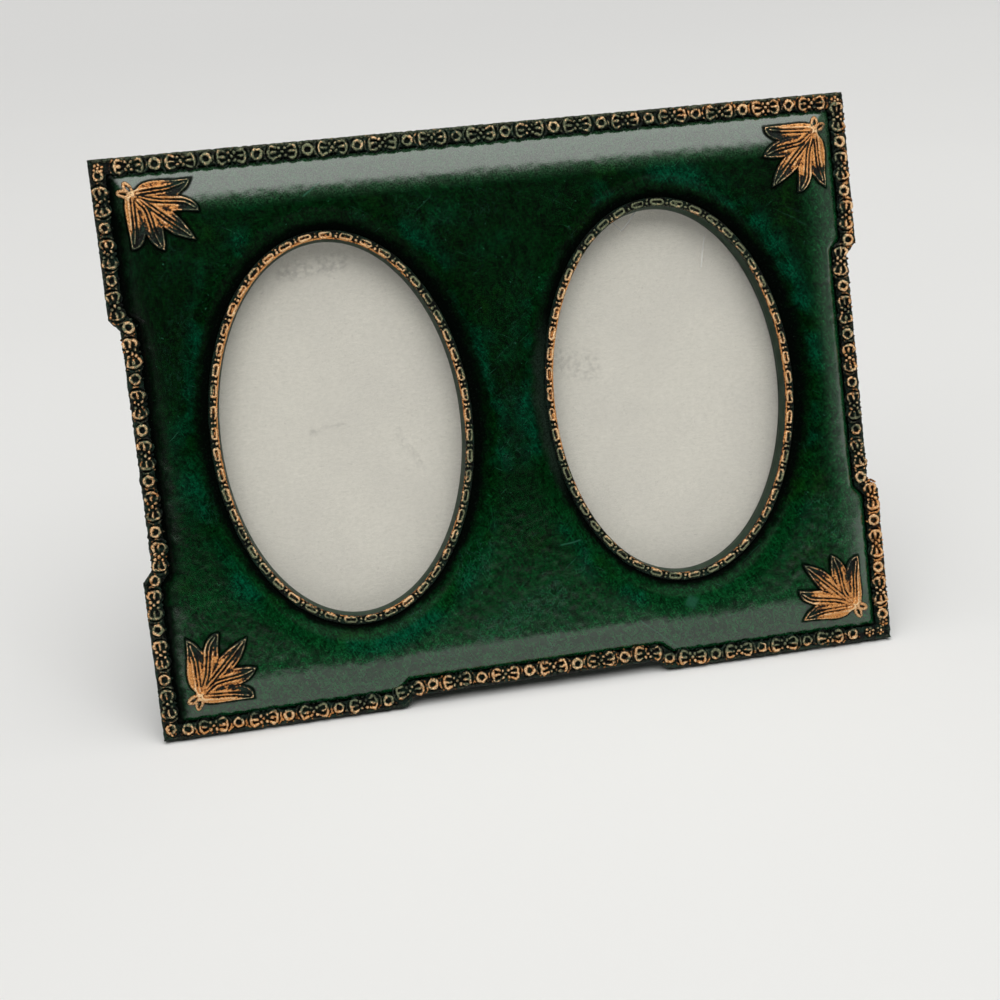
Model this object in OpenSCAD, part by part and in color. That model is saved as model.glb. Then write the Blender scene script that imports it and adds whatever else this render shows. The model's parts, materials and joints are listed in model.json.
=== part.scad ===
// Double photo frame: a cast front with two oval windows, stamped trim soldered on,
// and a velvet-covered back with a hinged easel leg. Millimetres.
// Pieces are drawn in face coordinates: X along the width, Y up the face, Z out of the face.
// The floor is at world Z = 0 and the front looks along world -Y.

/* [Frame] */
// Width of the frame
frame_w = 178; // [172:1:200]
// Height of the frame, measured up the face
frame_h = 133.5; // [130:0.5:150]
// How far the face leans back from upright, in degrees
lean = 18; // [12:1:22]
// Depth of the shallow recesses in the sides and the bottom edge
recess_depth = 2.4; // [1.6:0.1:2.6]
// Length of the slanting step at each end of a recess
recess_run = 2.8; // [2:0.1:4]
// Length of the recess in each side
side_recess_len = 60.4; // [50:0.2:66]
// Height of the middle of the side recesses above the middle of the frame
side_recess_v = 0.65; // [-4.75:0.2:5.25]
// Length of the recess in the bottom edge, between the feet
foot_gap = 64.4; // [50:0.2:80]

/* [Casting] */
// Thickness of the outer flange that carries the border trim
flange_t = 3; // [2.4:0.1:3.4]
// Height of the padded face above the flange
pillow_rise = 3.4; // [2.6:0.1:4]
// Width of the rounded shoulder of the padded face
shoulder_w = 10.7; // [8:0.1:12]
// Depth of the face of the photo pocket behind the flange front
pocket_floor = 3.6; // [3.4:0.1:4.4]
// Distance of the rear collar from the frame's edge
collar_inset = 5; // [4.5:0.1:5.6]
// Width of the rear collar
collar_w = 5; // [4.8:0.1:5.4]
// Wall left between the photo pockets and the cored-out spaces
core_wall = 1.8; // [1.4:0.1:2.4]
// Width of the ledge beside the collar
ledge_w = 1.5; // [1:0.1:1.8]
// Height of the flat ground on the lower rear edge of the feet
foot_grind = 0.4; // [0.3:0.05:0.6]

/* [Windows] */
// Distance of each window's centre from the middle of the frame
window_u = 39.35; // [38:0.05:42]
// Height of the windows' centres above the middle of the frame
window_v = 0.25; // [-2.75:0.5:3.25]
// Half width of the clear oval
oval_a = 28.1; // [24:0.1:29]
// Half height of the clear oval
oval_b = 43.5; // [38:0.1:44]
// Width of the bezel's face
bezel_w = 2.2; // [1.8:0.1:2.6]
// Wall of the bezel's inner sleeve
sleeve_wall = 0.9; // [0.6:0.1:1.2]
// Height of the bezel's seat above the flange front
seat_w = 0.5; // [0.3:0.1:1]
// Height of the bezel's bead row above its seat
bezel_rise = 1.1; // [0.8:0.1:1.4]
// Thickness of the bezel's thin outer edge
bezel_edge_t = 0.6; // [0.4:0.1:0.7]
// Width of the bezel's thin outer edge
bezel_edge_w = 0.4; // [0.3:0.1:0.6]
// Width of the dished valley round each bezel, at the side
valley_w = 3.2; // [2:0.1:3.4]

/* [Border trim] */
// Width of the trim strip
trim_w = 4; // [3.6:0.1:4.2]
// Thickness of the strip under its relief
trim_base = 0.9; // [0.7:0.1:1]
// Height of the relief above the flange front
trim_rise = 1.5; // [1.4:0.1:1.8]
// Width of the plain outer rim
rim_w = 0.6; // [0.4:0.1:0.65]
// Height of the plain outer rim
rim_rise = 1.3; // [1.1:0.05:1.35]
// Distance from one open ring to the next
motif_pitch = 11.8; // [11:0.1:13]
// Outer radius of an open ring
ring_r = 1.3; // [1.1:0.05:1.35]
// Radius of the hole in an open ring
ring_hole_r = 0.8; // [0.5:0.05:0.9]
// Outer radius of a scroll beside the beads
scroll_r = 1.15; // [1:0.05:1.2]
// Radius of the eye of a scroll
scroll_eye_r = 0.45; // [0.3:0.05:0.6]
// Distance of a scroll from the middle of its beads
scroll_at = 2.7; // [2.6:0.05:2.9]
// Radius of a bead
bead_r = 0.42; // [0.3:0.02:0.46]
// Distance of a bead from the middle of its cross
bead_at = 0.8; // [0.7:0.05:0.9]
// Gap between the trim and the padded face
groove_w = 0.4; // [0.3:0.05:0.8]

/* [Corner leaves] */
// Distance of a leaf's root from each edge of its corner
leaf_root = 9.2; // [8.6:0.1:11]
// Thickness of the leaf stamping
leaf_t = 0.7; // [0.4:0.05:1]
// Length of the middle leaflet
leaf_len = 16.5; // [12:0.1:18]
// Width of the middle leaflet
leaf_wid = 3.5; // [2.6:0.1:4.2]
// Length of a bract behind the root
bract_len = 4.4; // [3:0.1:5]
// Width of a bract
bract_wid = 2.1; // [1.4:0.1:2.6]

/* [Photographs and back] */
// Width of the print that a pocket takes
print_w = 63.5; // [61:0.1:64.5]
// Height of the print that a pocket takes
print_h = 88.9; // [88:0.1:92]
// How much larger a pane is than a print
pane_over = 0.5; // [0.2:0.1:0.8]
// Gap round a pane in its pocket
pane_gap = 0.25; // [0.1:0.05:0.4]
// Thickness of a clear pane
pane_t = 1.1; // [0.8:0.1:1.4]
// Thickness of a backing card
card_t = 0.5; // [0.3:0.1:0.8]
// Thickness of the back board
board_t = 2.1; // [1.6:0.1:3]
// Gap round the back board in the collar
board_gap = 0.3; // [0.2:0.05:0.5]
// Thickness of the velvet on the back board
velvet_t = 0.5; // [0.3:0.1:0.8]

/* [Turn buttons] */
// Distance of the turn buttons from the middle of the frame
button_u = 50; // [40:1:60]
// Width of a turn button
button_wid = 4.6; // [4:0.1:4.8]
// Reach of a turn button from its screw
button_reach = 8.6; // [7:0.1:10]
// Thickness of a turn button
button_t = 1; // [0.8:0.1:1.4]
// Radius of the screw's shank
screw_r = 1; // [0.8:0.05:1.2]
// Radius of the screw's head
screw_head_r = 1.9; // [1.6:0.05:2.1]
// Height of the screw's head
screw_head_h = 0.7; // [0.5:0.05:1]
// Depth of the screw in the collar
screw_depth = 4; // [3:0.1:5]
// Width of the slot in the screw's head
slot_w = 0.5; // [0.3:0.05:0.7]

/* [Easel leg] */
// Height of the leg's hinge above the middle of the frame, measured up the face
hinge_v = 28.25; // [21.25:0.5:33.25]
// Angle between the open leg and the back, in degrees
leg_angle = 33; // [30:0.5:40]
// Width of the leg at the hinge
leg_top_w = 46; // [40:0.5:60]
// Width of the leg at the floor
leg_foot_w = 30; // [20:0.5:40]
// Thickness of the leg board
leg_t = 2; // [1.6:0.1:2.2]
// Thickness of the velvet on the leg
leg_velvet_t = 0.4; // [0.3:0.05:0.5]
// Width of the hinge
hinge_w = 34; // [30:0.5:38]
// Width of each end knuckle
end_knuckle_w = 8; // [6:0.5:9]
// Gap between neighbouring knuckles
knuckle_side_gap = 0.3; // [0.2:0.05:0.5]
// Outer radius of a knuckle
knuckle_r = 1.7; // [1.6:0.05:1.9]
// Gap between the knuckles and the velvet
knuckle_gap = 0.15; // [0.1:0.05:0.3]
// Thickness of a hinge plate
plate_t = 0.8; // [0.6:0.05:0.85]
// Height of a hinge plate
plate_h = 14; // [12:0.5:18]
// Radius of the hinge pin
pin_r = 0.8; // [0.6:0.05:0.9]
// Radius of the upset heads of the pin
pin_head_r = 1.3; // [1.2:0.05:1.5]
// Thickness of the upset heads of the pin
pin_head_t = 0.5; // [0.3:0.05:0.8]
// Radius of a rivet's shank
rivet_r = 1; // [0.8:0.05:1.2]
// Radius of a rivet's head
rivet_head_r = 1.9; // [1.6:0.05:2.2]
// Height of a rivet's head
rivet_head_h = 0.7; // [0.5:0.05:0.9]
// Thickness of a rivet's clinched tail
rivet_tail_t = 0.5; // [0.3:0.05:0.6]
// Distance of a rivet from the middle of the hinge
rivet_u = 10.5; // [9:0.5:12]

/* [Hidden] */
$fn = 48;

// Running clearance of screws, pins and rivets in their holes
fit = 0.05;
// Film of solder under a stamped piece
solder = 0.04;
// Overrun of every cut past the face that it opens
overrun = 1;

green = [0.02, 0.24, 0.16];
copper = [0.82, 0.55, 0.33];
bronze = [0.22, 0.26, 0.2];
clear = [0.8, 0.88, 0.9, 0.35];
off_white = [0.8, 0.78, 0.74];
fibre = [0.36, 0.3, 0.24];
velvet_black = [0.06, 0.07, 0.07];
brass = [0.72, 0.6, 0.33];

// Places measured up the face from the bottom edge
window_mid = frame_h / 2 + window_v;
recess_mid = frame_h / 2 + side_recess_v;
hinge_mid = frame_h / 2 + hinge_v;

// Stack behind the face, as places along Z
card_face = -pocket_floor - pane_t;
board_face = card_face - card_t;
board_back = board_face - board_t;
velvet_back = board_back - velvet_t;
button_gap = 0.1;
collar_back = velvet_back - button_gap;
button_face = collar_back - fit;
button_back = button_face - button_t;
hinge_axis = velvet_back - knuckle_gap - knuckle_r;

// Half the angle that is left between the open leg and the upright
leg_slope = leg_angle - lean;
// World height of the floor and of the hinge before the frame is set on the floor
floor_z = foot_grind - flange_t * sin(lean);
hinge_y = hinge_mid * sin(lean) - hinge_axis * cos(lean);
hinge_z = hinge_mid * cos(lean) + hinge_axis * sin(lean);
// Faces of the leg, measured from the hinge axis, positive towards the frame
leg_plate_back = -knuckle_r;
leg_velvet_back = leg_plate_back + plate_t;
leg_board_back = leg_velvet_back + leg_velvet_t;
leg_board_front = leg_board_back + leg_t;
leg_reach = (hinge_z - floor_z - leg_velvet_back * sin(leg_slope)) / cos(leg_slope);
// World places of the foremost and rearmost points, which the origin lies midway between
front_y = -trim_rise * cos(lean);
rear_y = hinge_y + leg_reach * sin(leg_slope) - leg_velvet_back * cos(leg_slope);
middle_y = (front_y + rear_y) / 2;

// Length of the heel that meets the back plate when the leg is open
heel_gap = 0.08;
heel_len = (knuckle_r + knuckle_gap - plate_t - heel_gap
    + (knuckle_r - plate_t) * cos(leg_angle)) / sin(leg_angle);
// Clear distance that the plates keep from the other plate's knuckles
knuckle_clear = knuckle_r + 0.25 * knuckle_r;
leg_knuckle_w = hinge_w - 2 * (end_knuckle_w + knuckle_side_gap);
rivet_at = 0.6 * plate_h;

pillow_inset = trim_w + groove_w;
shoulder_r = (shoulder_w * shoulder_w + pillow_rise * pillow_rise) / (2 * pillow_rise);
bezel_top = seat_w + bezel_rise;
bezel_gap = 0.1;
pane_w = print_w + pane_over;
pane_h = print_h + pane_over;
pocket_w = pane_w + 2 * pane_gap;
pocket_h = pane_h + 2 * pane_gap;
collar_inner = collar_inset + collar_w;
button_v = collar_inset + collar_w / 2;

// Leaflets and bracts of a corner leaf: angle from the leaf's axis, then length and width
// as shares of the middle leaflet's, and the outward curl of the tip as a share of the length
leaflet_shares = [
    [-57, 0.71, 1.25, -0.12], [-25, 0.82, 1, -0.08], [0, 1, 1, 0],
    [25, 0.88, 1, 0.08], [57, 0.83, 1.25, 0.12]
];
bract_angles = [-156, 156];
// Points along each side of a leaflet, and how full its sides are: less is fuller
leaflet_steps = 10;
leaflet_power = 0.75;

// The frame's outline, anticlockwise from the lower left corner
function outline() = let (
    w = frame_w / 2,
    g = foot_gap / 2,
    low = recess_mid - side_recess_len / 2,
    high = recess_mid + side_recess_len / 2
) [
    [-w, 0], [-g, 0], [-g + recess_run, recess_depth], [g - recess_run, recess_depth],
    [g, 0], [w, 0], [w, low], [w - recess_depth, low + recess_run],
    [w - recess_depth, high - recess_run], [w, high], [w, frame_h], [-w, frame_h],
    [-w, high], [-w + recess_depth, high - recess_run],
    [-w + recess_depth, low + recess_run], [-w, low]
];

// Unit normal that points into the outline from the edge between two of its points
function inward(a, b) = [a[1] - b[1], b[0] - a[0]] / norm(b - a);

// The outline moved in by d, with every edge kept parallel
function inset(d) = let (p = outline(), n = len(p)) [
    for (i = [0 : n - 1])
        let (
            before = inward(p[(i + n - 1) % n], p[i]),
            after = inward(p[i], p[(i + 1) % n])
        )
        p[i] + d * (before + after) / (1 + before * after)
];

// Face coordinates to the frame's place on the floor
module stand() {
    translate([0, -middle_y, -floor_z]) rotate([90 - lean, 0, 0]) children();
}

// Leg coordinates to the open leg's place: origin on the hinge axis, Y up the leg
module swing() {
    stand() translate([0, hinge_mid, hinge_axis]) rotate([leg_angle, 0, 0]) children();
}

// Everything below the floor
module below_floor() {
    translate([-frame_w, -frame_w, -frame_w]) cube([2 * frame_w, 2 * frame_w, frame_w]);
}

// Flat piece between two heights
module slab(low, high) {
    translate([0, 0, low]) linear_extrude(high - low) children();
}

// Oval prism round the clear opening, grown by a margin
module oval(margin, low, high) {
    slab(low, high) scale([oval_a + margin, oval_b + margin]) circle(1);
}

module at_window(side) {
    translate([side * window_u, window_mid, 0]) children();
}

// Section of the padded face across one direction, lifted by raise
module pillow_section(half, raise) {
    core = half - shoulder_w;
    translate([-core, -flange_t]) square([2 * core, flange_t + pillow_rise + raise]);
    for (side = [-1, 1])
        intersection() {
            translate([side * core, pillow_rise - shoulder_r]) circle(shoulder_r + raise);
            translate([side > 0 ? core : -core - shoulder_w - raise, -flange_t])
                square([shoulder_w + raise, flange_t + pillow_rise + raise]);
        }
}

// Padded face as the body that two crossing sections share
module pillow(raise) {
    half_w = frame_w / 2 - pillow_inset;
    half_h = frame_h / 2 - pillow_inset;
    translate([0, frame_h / 2, 0])
        intersection() {
            rotate([90, 0, 0])
                linear_extrude(frame_h, center = true) pillow_section(half_w, raise);
            rotate([90, 0, 90])
                linear_extrude(frame_w, center = true) pillow_section(half_h, raise);
        }
}

// Dished valley and seat for a bezel
module bezel_seat() {
    a = oval_a + bezel_w + bezel_gap;
    b = oval_b + bezel_w + bezel_gap;
    depth = pillow_rise - seat_w;
    slope = valley_w / a / depth;
    translate([0, 0, seat_w]) scale([a, b, 1])
        cylinder(r1 = 1, r2 = 1 + slope * (depth + overrun), h = depth + overrun);
}

// Rectangular space from the back of the casting up to a given height
module rear_space(u_low, u_high, v_low, v_high, top) {
    translate([u_low, v_low, collar_back - overrun])
        cube([u_high - u_low, v_high - v_low, top - collar_back + overrun]);
}

// Spaces cored out of the casting behind its padded face
module cored_spaces() {
    edge = collar_inner + ledge_w;
    pocket_out = window_u + pocket_w / 2 + core_wall;
    pocket_in = window_u - pocket_w / 2 - core_wall;
    low = window_mid - pocket_h / 2;
    high = window_mid + pocket_h / 2;
    for (side = [0, 1])
        mirror([side, 0, 0])
            rear_space(pocket_out, frame_w / 2 - edge, low, high, 0);
    rear_space(-pocket_in, pocket_in, low, high, 0);
    for (span = [[edge, low - core_wall], [high + core_wall, frame_h - edge]])
        rear_space(-frame_w / 2 + edge, frame_w / 2 - edge, span[0], span[1], 0);
}

// Places of the turn buttons' screws: side and whether at the top
module at_button(side, top) {
    translate([side * button_u, top ? frame_h - button_v : button_v, 0])
        rotate(top ? 180 : 0) children();
}

module front_panel() {
    color(green) difference() {
        stand() difference() {
            union() {
                slab(-flange_t, 0) polygon(outline());
                intersection() {
                    pillow(0);
                    slab(-flange_t, pillow_rise + overrun) polygon(inset(pillow_inset));
                }
                translate([-frame_w / 2 + collar_inset, collar_inset, collar_back])
                    cube([frame_w - 2 * collar_inset, frame_h - 2 * collar_inset,
                        -collar_back]);
            }
            rear_space(-frame_w / 2 + collar_inner, frame_w / 2 - collar_inner,
                collar_inner, frame_h - collar_inner, board_face);
            cored_spaces();
            for (side = [-1, 1])
                at_window(side) {
                    rear_space(-pocket_w / 2, pocket_w / 2, -pocket_h / 2, pocket_h / 2,
                        -pocket_floor);
                    oval(sleeve_wall + bezel_gap, -pocket_floor - overrun, pillow_rise);
                    bezel_seat();
                }
            for (side = [-1, 1], top = [false, true])
                at_button(side, top)
                    translate([0, 0, collar_back - overrun])
                        cylinder(r = screw_r + fit, h = screw_depth + fit + overrun);
        }
        below_floor();
    }
}

// One repeat of the relief: an open ring, then beads between two scrolls
module motif_bosses(step) {
    cylinder(r = ring_r, h = trim_rise - trim_base);
    translate([step / 2, 0, 0]) {
        for (side = [-1, 1])
            translate([side * scroll_at, 0, 0])
                cylinder(r = scroll_r, h = trim_rise - trim_base);
        for (turn = [0 : 3])
            rotate(90 * turn) translate([bead_at, 0, 0])
                cylinder(r = bead_r, h = trim_rise - trim_base);
    }
}

// Holes of the ring and of the two scrolls
module motif_holes(step) {
    height = trim_rise - trim_base + overrun;
    cylinder(r = ring_hole_r, h = height);
    for (side = [-1, 1])
        translate([step / 2 + side * scroll_at, 0, 0]) cylinder(r = scroll_eye_r, h = height);
}

// Repeats its child along straight edges of the strip, evenly and near the wanted pitch
module along_edges(edges) {
    path = inset(trim_w / 2);
    for (i = edges) {
        a = path[i];
        b = path[(i + 1) % len(path)];
        run = norm(b - a) - 2 * ring_r;
        count = max(1, round(run / motif_pitch));
        step = run / count;
        dir = (b - a) / norm(b - a);
        for (k = [0 : count - 1]) {
            at = a + dir * (ring_r + k * step);
            translate([at[0], at[1], trim_base])
                rotate(atan2(dir[1], dir[0])) {
                    $step = step;
                    children();
                }
        }
    }
}

// One mitred strip of the trim: quarter gives the direction in which its side lies
module trim_strip(edges, quarter) {
    reach = trim_w + recess_depth;
    w = frame_w / 2;
    h = frame_h;
    sides = [
        [[-w, 0], [w, 0], [w - reach, reach], [-w + reach, reach]],
        [[w, 0], [w, h], [w - reach, h - reach], [w - reach, reach]],
        [[w, h], [-w, h], [-w + reach, h - reach], [w - reach, h - reach]],
        [[-w, h], [-w, 0], [-w + reach, reach], [-w + reach, h - reach]]
    ];
    color(copper) stand() difference() {
        union() {
            intersection() {
                union() {
                    slab(0, trim_base) difference() {
                        polygon(outline());
                        polygon(inset(trim_w));
                    }
                    slab(0, rim_rise) difference() {
                        polygon(outline());
                        polygon(inset(rim_w));
                    }
                }
                slab(0, trim_rise) polygon(sides[quarter]);
            }
            along_edges(edges) motif_bosses($step);
        }
        along_edges(edges) motif_holes($step);
    }
}

module border_trim_bottom() {
    trim_strip([0, 2, 4], 0);
}

module border_trim_right() {
    trim_strip([5, 7, 9], 1);
}

module border_trim_top() {
    trim_strip([10], 2);
}

module border_trim_left() {
    trim_strip([11, 13, 15], 3);
}

// Stamped bezel: a sleeve through the casting under a ring that sits in the valley
module oval_bezel(side) {
    color(copper) stand() at_window(side) difference() {
        union() {
            oval(sleeve_wall, -pocket_floor + solder, seat_w + bezel_edge_t);
            oval(bezel_w, seat_w + solder, seat_w + bezel_edge_t);
            oval(bezel_w - bezel_edge_w, seat_w + bezel_edge_t, bezel_top);
        }
        oval(0, -pocket_floor - overrun, bezel_top + overrun);
    }
}

// Outline of a pointed leaflet that lies along X from the origin, its tip curled to one side
function leaflet(length, width, curl) = [
    for (side = [1, -1], i = [0 : leaflet_steps])
        let (s = (side > 0 ? i : leaflet_steps - i) / leaflet_steps)
        if (side > 0 || (i > 0 && i < leaflet_steps))
            [length * s, curl * length * s * s + side * width / 2 * pow(sin(180 * s), leaflet_power)]
];

// Corner leaf, shaped to the padded face that it is soldered to
module corner_leaf(right, top) {
    u = right ? frame_w / 2 - leaf_root : leaf_root - frame_w / 2;
    v = top ? frame_h - leaf_root : leaf_root;
    facing = top ? (right ? 225 : -45) : (right ? 135 : 45);
    color(copper) stand() difference() {
        intersection() {
            pillow(leaf_t + solder);
            slab(0, pillow_rise + leaf_t + overrun) translate([u, v]) rotate(facing) {
                for (s = leaflet_shares)
                    rotate(s[0]) polygon(leaflet(leaf_len * s[1], leaf_wid * s[2], s[3]));
                for (a = bract_angles)
                    rotate(a) translate([-bract_wid / 4, 0])
                        polygon(leaflet(bract_len, bract_wid, 0));
            }
        }
        pillow(solder);
    }
}

// Rectangular sheet in a photo pocket
module pocket_sheet(side, w, h, front, thickness) {
    at_window(side) translate([-w / 2, -h / 2, front - thickness]) cube([w, h, thickness]);
}

module pane(side) {
    color(clear) stand() pocket_sheet(side, pane_w, pane_h, -pocket_floor, pane_t);
}

module insert_card(side) {
    color(off_white) stand() pocket_sheet(side, print_w, print_h, card_face, card_t);
}

// Places of the hinge's rivets on the back, in face coordinates
module at_back_rivets() {
    for (side = [-1, 1])
        translate([side * rivet_u, hinge_mid + rivet_at, 0]) children();
}

// Sheet that fills the collar, drilled for the rivets of the hinge
module back_sheet(front, thickness) {
    margin = collar_inner + board_gap;
    difference() {
        translate([-frame_w / 2 + margin, margin, front - thickness])
            cube([frame_w - 2 * margin, frame_h - 2 * margin, thickness]);
        at_back_rivets() translate([0, 0, front - thickness - overrun])
            cylinder(r = rivet_r + fit, h = thickness + 2 * overrun);
    }
}

module back_board() {
    color(fibre) stand() difference() {
        back_sheet(board_face, board_t);
        at_back_rivets() translate([0, 0, board_face - rivet_tail_t - fit])
            cylinder(r = rivet_head_r + fit, h = rivet_tail_t + fit + overrun);
    }
}

module back_velvet() {
    color(velvet_black) stand() back_sheet(board_back, velvet_t);
}

// Turn button, with its pivot at the origin and its bar up the face
module turn_button(side, top) {
    r = button_wid / 2;
    color(brass) stand() at_button(side, top) translate([0, 0, button_back])
        difference() {
            union() {
                cylinder(r = r, h = button_t);
                translate([-r, 0, 0]) cube([button_wid, button_reach - r, button_t]);
                translate([0, button_reach - r, 0]) cylinder(r = r, h = button_t);
            }
            translate([0, 0, -overrun])
                cylinder(r = screw_r + fit, h = button_t + 2 * overrun);
        }
}

module button_screws() {
    color(brass) stand() for (side = [-1, 1], top = [false, true])
        at_button(side, top) translate([0, 0, button_back - fit])
            difference() {
                union() {
                    translate([0, 0, -screw_head_h]) cylinder(r = screw_head_r, h = screw_head_h);
                    cylinder(r = screw_r, h = fit + button_t + fit + screw_depth);
                }
                translate([-screw_head_r - overrun, -slot_w / 2, -screw_head_h - overrun])
                    cube([2 * (screw_head_r + overrun), slot_w,
                        overrun + screw_head_h / 2]);
            }
}

// Span of a hinge along X, from its middle
module span(low, high, v_low, v_high, w_low, w_high) {
    translate([low, v_low, w_low]) cube([high - low, v_high - v_low, w_high - w_low]);
}

// Knuckle and its bore
module barrel(low, high, r) {
    translate([low, 0, 0]) rotate([0, 90, 0]) cylinder(r = r, h = high - low);
}

// Plate on the back, with a knuckle at each end of the hinge
module hinge_back_plate() {
    half = hinge_w / 2;
    inner = half - end_knuckle_w;
    front = knuckle_r + knuckle_gap;
    color(brass) stand() translate([0, hinge_mid, hinge_axis]) difference() {
        union() {
            span(-half, half, knuckle_clear, plate_h, front - plate_t, front);
            for (low = [-half, inner]) {
                span(low, low + end_knuckle_w, 0, plate_h, front - plate_t, front);
                barrel(low, low + end_knuckle_w, knuckle_r);
            }
        }
        barrel(-half - overrun, half + overrun, pin_r + fit);
        for (side = [-1, 1])
            translate([side * rivet_u, rivet_at, 0])
                cylinder(r = rivet_r + fit, h = front + overrun);
    }
}

// Plate on the leg, with the middle knuckle and the heel that stops the leg
module hinge_leg_plate() {
    half = hinge_w / 2;
    mid = leg_knuckle_w / 2;
    color(brass) swing() difference() {
        union() {
            span(-half, half, -plate_h, -knuckle_clear, leg_plate_back, leg_velvet_back);
            span(-mid, mid, -plate_h, heel_len, leg_plate_back, leg_velvet_back);
            barrel(-mid, mid, knuckle_r);
        }
        barrel(-half, half, pin_r + fit);
        for (side = [-1, 1])
            translate([side * rivet_u, -rivet_at, leg_plate_back - overrun])
                cylinder(r = rivet_r + fit, h = plate_t + 2 * overrun);
    }
}

module hinge_pin() {
    half = hinge_w / 2 + fit;
    color(brass) stand() translate([0, hinge_mid, hinge_axis]) {
        barrel(-half - pin_head_t, half + pin_head_t, pin_r);
        barrel(-half - pin_head_t, -half, pin_head_r);
        barrel(half, half + pin_head_t, pin_head_r);
    }
}

// Rivet along Z from its head's seat at 0 to the far side of what it clamps
module rivet(grip) {
    dome_r = (rivet_head_r * rivet_head_r + rivet_head_h * rivet_head_h) / (2 * rivet_head_h);
    intersection() {
        translate([0, 0, dome_r - rivet_head_h]) sphere(dome_r);
        translate([0, 0, -rivet_head_h]) cylinder(r = rivet_head_r, h = rivet_head_h);
    }
    cylinder(r = rivet_r, h = grip);
    translate([0, 0, grip - rivet_tail_t]) cylinder(r = rivet_head_r, h = rivet_tail_t);
}

module back_plate_rivets() {
    color(brass) stand() at_back_rivets() translate([0, 0, velvet_back - plate_t])
        rivet(plate_t + velvet_t + board_t);
}

module leg_plate_rivets() {
    color(brass) swing() for (side = [-1, 1])
        translate([side * rivet_u, -rivet_at, leg_plate_back])
            rivet(plate_t + leg_velvet_t + leg_t);
}

// Tapered sheet of the leg between two depths, drilled for its rivets and cut to the floor
module leg_sheet(margin, low, high) {
    top = -knuckle_clear;
    bottom = -leg_reach - leg_t;
    difference() {
        swing() difference() {
            slab(low, high) polygon([
                [-leg_foot_w / 2 - margin, bottom], [leg_foot_w / 2 + margin, bottom],
                [leg_top_w / 2 + margin, top], [-leg_top_w / 2 - margin, top]
            ]);
            for (side = [-1, 1])
                translate([side * rivet_u, -rivet_at, low - overrun])
                    cylinder(r = rivet_r + fit, h = high - low + 2 * overrun);
        }
        below_floor();
    }
}

module easel_leg() {
    color(fibre) difference() {
        leg_sheet(0, leg_board_back, leg_board_front);
        swing() for (side = [-1, 1])
            translate([side * rivet_u, -rivet_at, leg_board_front - rivet_tail_t - fit])
                cylinder(r = rivet_head_r + fit, h = rivet_tail_t + fit + overrun);
    }
}

// Velvet on the leg's rear face, turned over both long edges
module leg_velvet() {
    color(velvet_black) difference() {
        leg_sheet(leg_velvet_t, leg_velvet_back, leg_board_front);
        leg_sheet(0, leg_board_back, leg_board_front + overrun);
    }
}

front_panel();
border_trim_top();
border_trim_bottom();
border_trim_left();
border_trim_right();
oval_bezel(-1);  // oval_bezel_left
oval_bezel(1);  // oval_bezel_right
corner_leaf(false, true);  // leaf_top_left
corner_leaf(true, true);  // leaf_top_right
corner_leaf(false, false);  // leaf_bottom_left
corner_leaf(true, false);  // leaf_bottom_right
pane(-1);  // pane_left
pane(1);  // pane_right
insert_card(-1);  // insert_card_left
insert_card(1);  // insert_card_right
back_board();
back_velvet();
turn_button(-1, true);  // turn_button_top_left
turn_button(1, true);  // turn_button_top_right
turn_button(-1, false);  // turn_button_bottom_left
turn_button(1, false);  // turn_button_bottom_right
button_screws();
hinge_back_plate();
hinge_leg_plate();
hinge_pin();
back_plate_rivets();
leg_plate_rivets();
easel_leg();
leg_velvet();
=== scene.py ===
from functools import reduce
import json
import math

import bmesh
import bpy
import numpy as np
from mathutils import Matrix, Vector, geometry, noise


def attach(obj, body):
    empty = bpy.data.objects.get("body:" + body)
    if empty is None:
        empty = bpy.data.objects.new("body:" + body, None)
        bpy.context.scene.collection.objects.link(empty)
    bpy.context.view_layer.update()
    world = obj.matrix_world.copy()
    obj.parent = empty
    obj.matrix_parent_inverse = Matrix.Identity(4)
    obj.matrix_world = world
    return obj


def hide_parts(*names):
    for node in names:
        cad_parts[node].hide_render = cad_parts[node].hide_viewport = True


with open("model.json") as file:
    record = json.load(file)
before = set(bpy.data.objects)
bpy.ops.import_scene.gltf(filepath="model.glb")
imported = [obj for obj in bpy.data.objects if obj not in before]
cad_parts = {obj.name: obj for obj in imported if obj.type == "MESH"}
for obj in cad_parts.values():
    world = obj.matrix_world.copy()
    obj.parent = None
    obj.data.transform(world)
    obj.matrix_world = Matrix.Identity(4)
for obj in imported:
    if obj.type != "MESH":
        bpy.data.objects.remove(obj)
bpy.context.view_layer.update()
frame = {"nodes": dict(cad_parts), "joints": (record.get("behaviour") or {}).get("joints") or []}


# Studio: a wide pale table under one broad bright ceiling panel, in a dim room whose dark front the
# enamel mirrors, and the camera where the photograph was taken from.
CAMERA_AT = (-0.0603, -0.3611, 0.1924)
CAMERA_LENS, SENSOR = 57.6, 36.0
CAMERA_PAN, CAMERA_TILT, CAMERA_ROLL = 9.2, 23.0, -3.57
TABLE_RADIUS, TABLE_SIDES = 6.0, 96
# The table's paper in two random tones; its far tone is darker, a painted shade for the light falling off
# towards the back
TABLE_TONES, TABLE_FAR_PAINTED_SHADE = ((0.81, 0.81, 0.80), (0.84, 0.84, 0.83)), (0.74, 0.74, 0.735)
PANEL_FROM, PANEL_TO, PANEL_LIGHT = 42, 108, (2.68, 2.66, 2.63)
DIM_WALL, LIT_WALL = (0.045, 0.046, 0.046), (0.24, 0.25, 0.24)
DARK_FRONT, FRONT_HORIZON = (0.010, 0.010, 0.011), (0.42, 0.42, 0.415)


def node(tree, kind, inputs=None, **settings):
    """Adds a node to a tree, sets it up, and joins or sets its inputs."""
    made = tree.nodes.new(kind)
    for key, value in settings.items():
        setattr(made, key, value)
    for key, value in (inputs or {}).items():
        if isinstance(value, bpy.types.NodeSocket):
            tree.links.new(value, made.inputs[key])
        else:
            made.inputs[key].default_value = value
    return made


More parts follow.
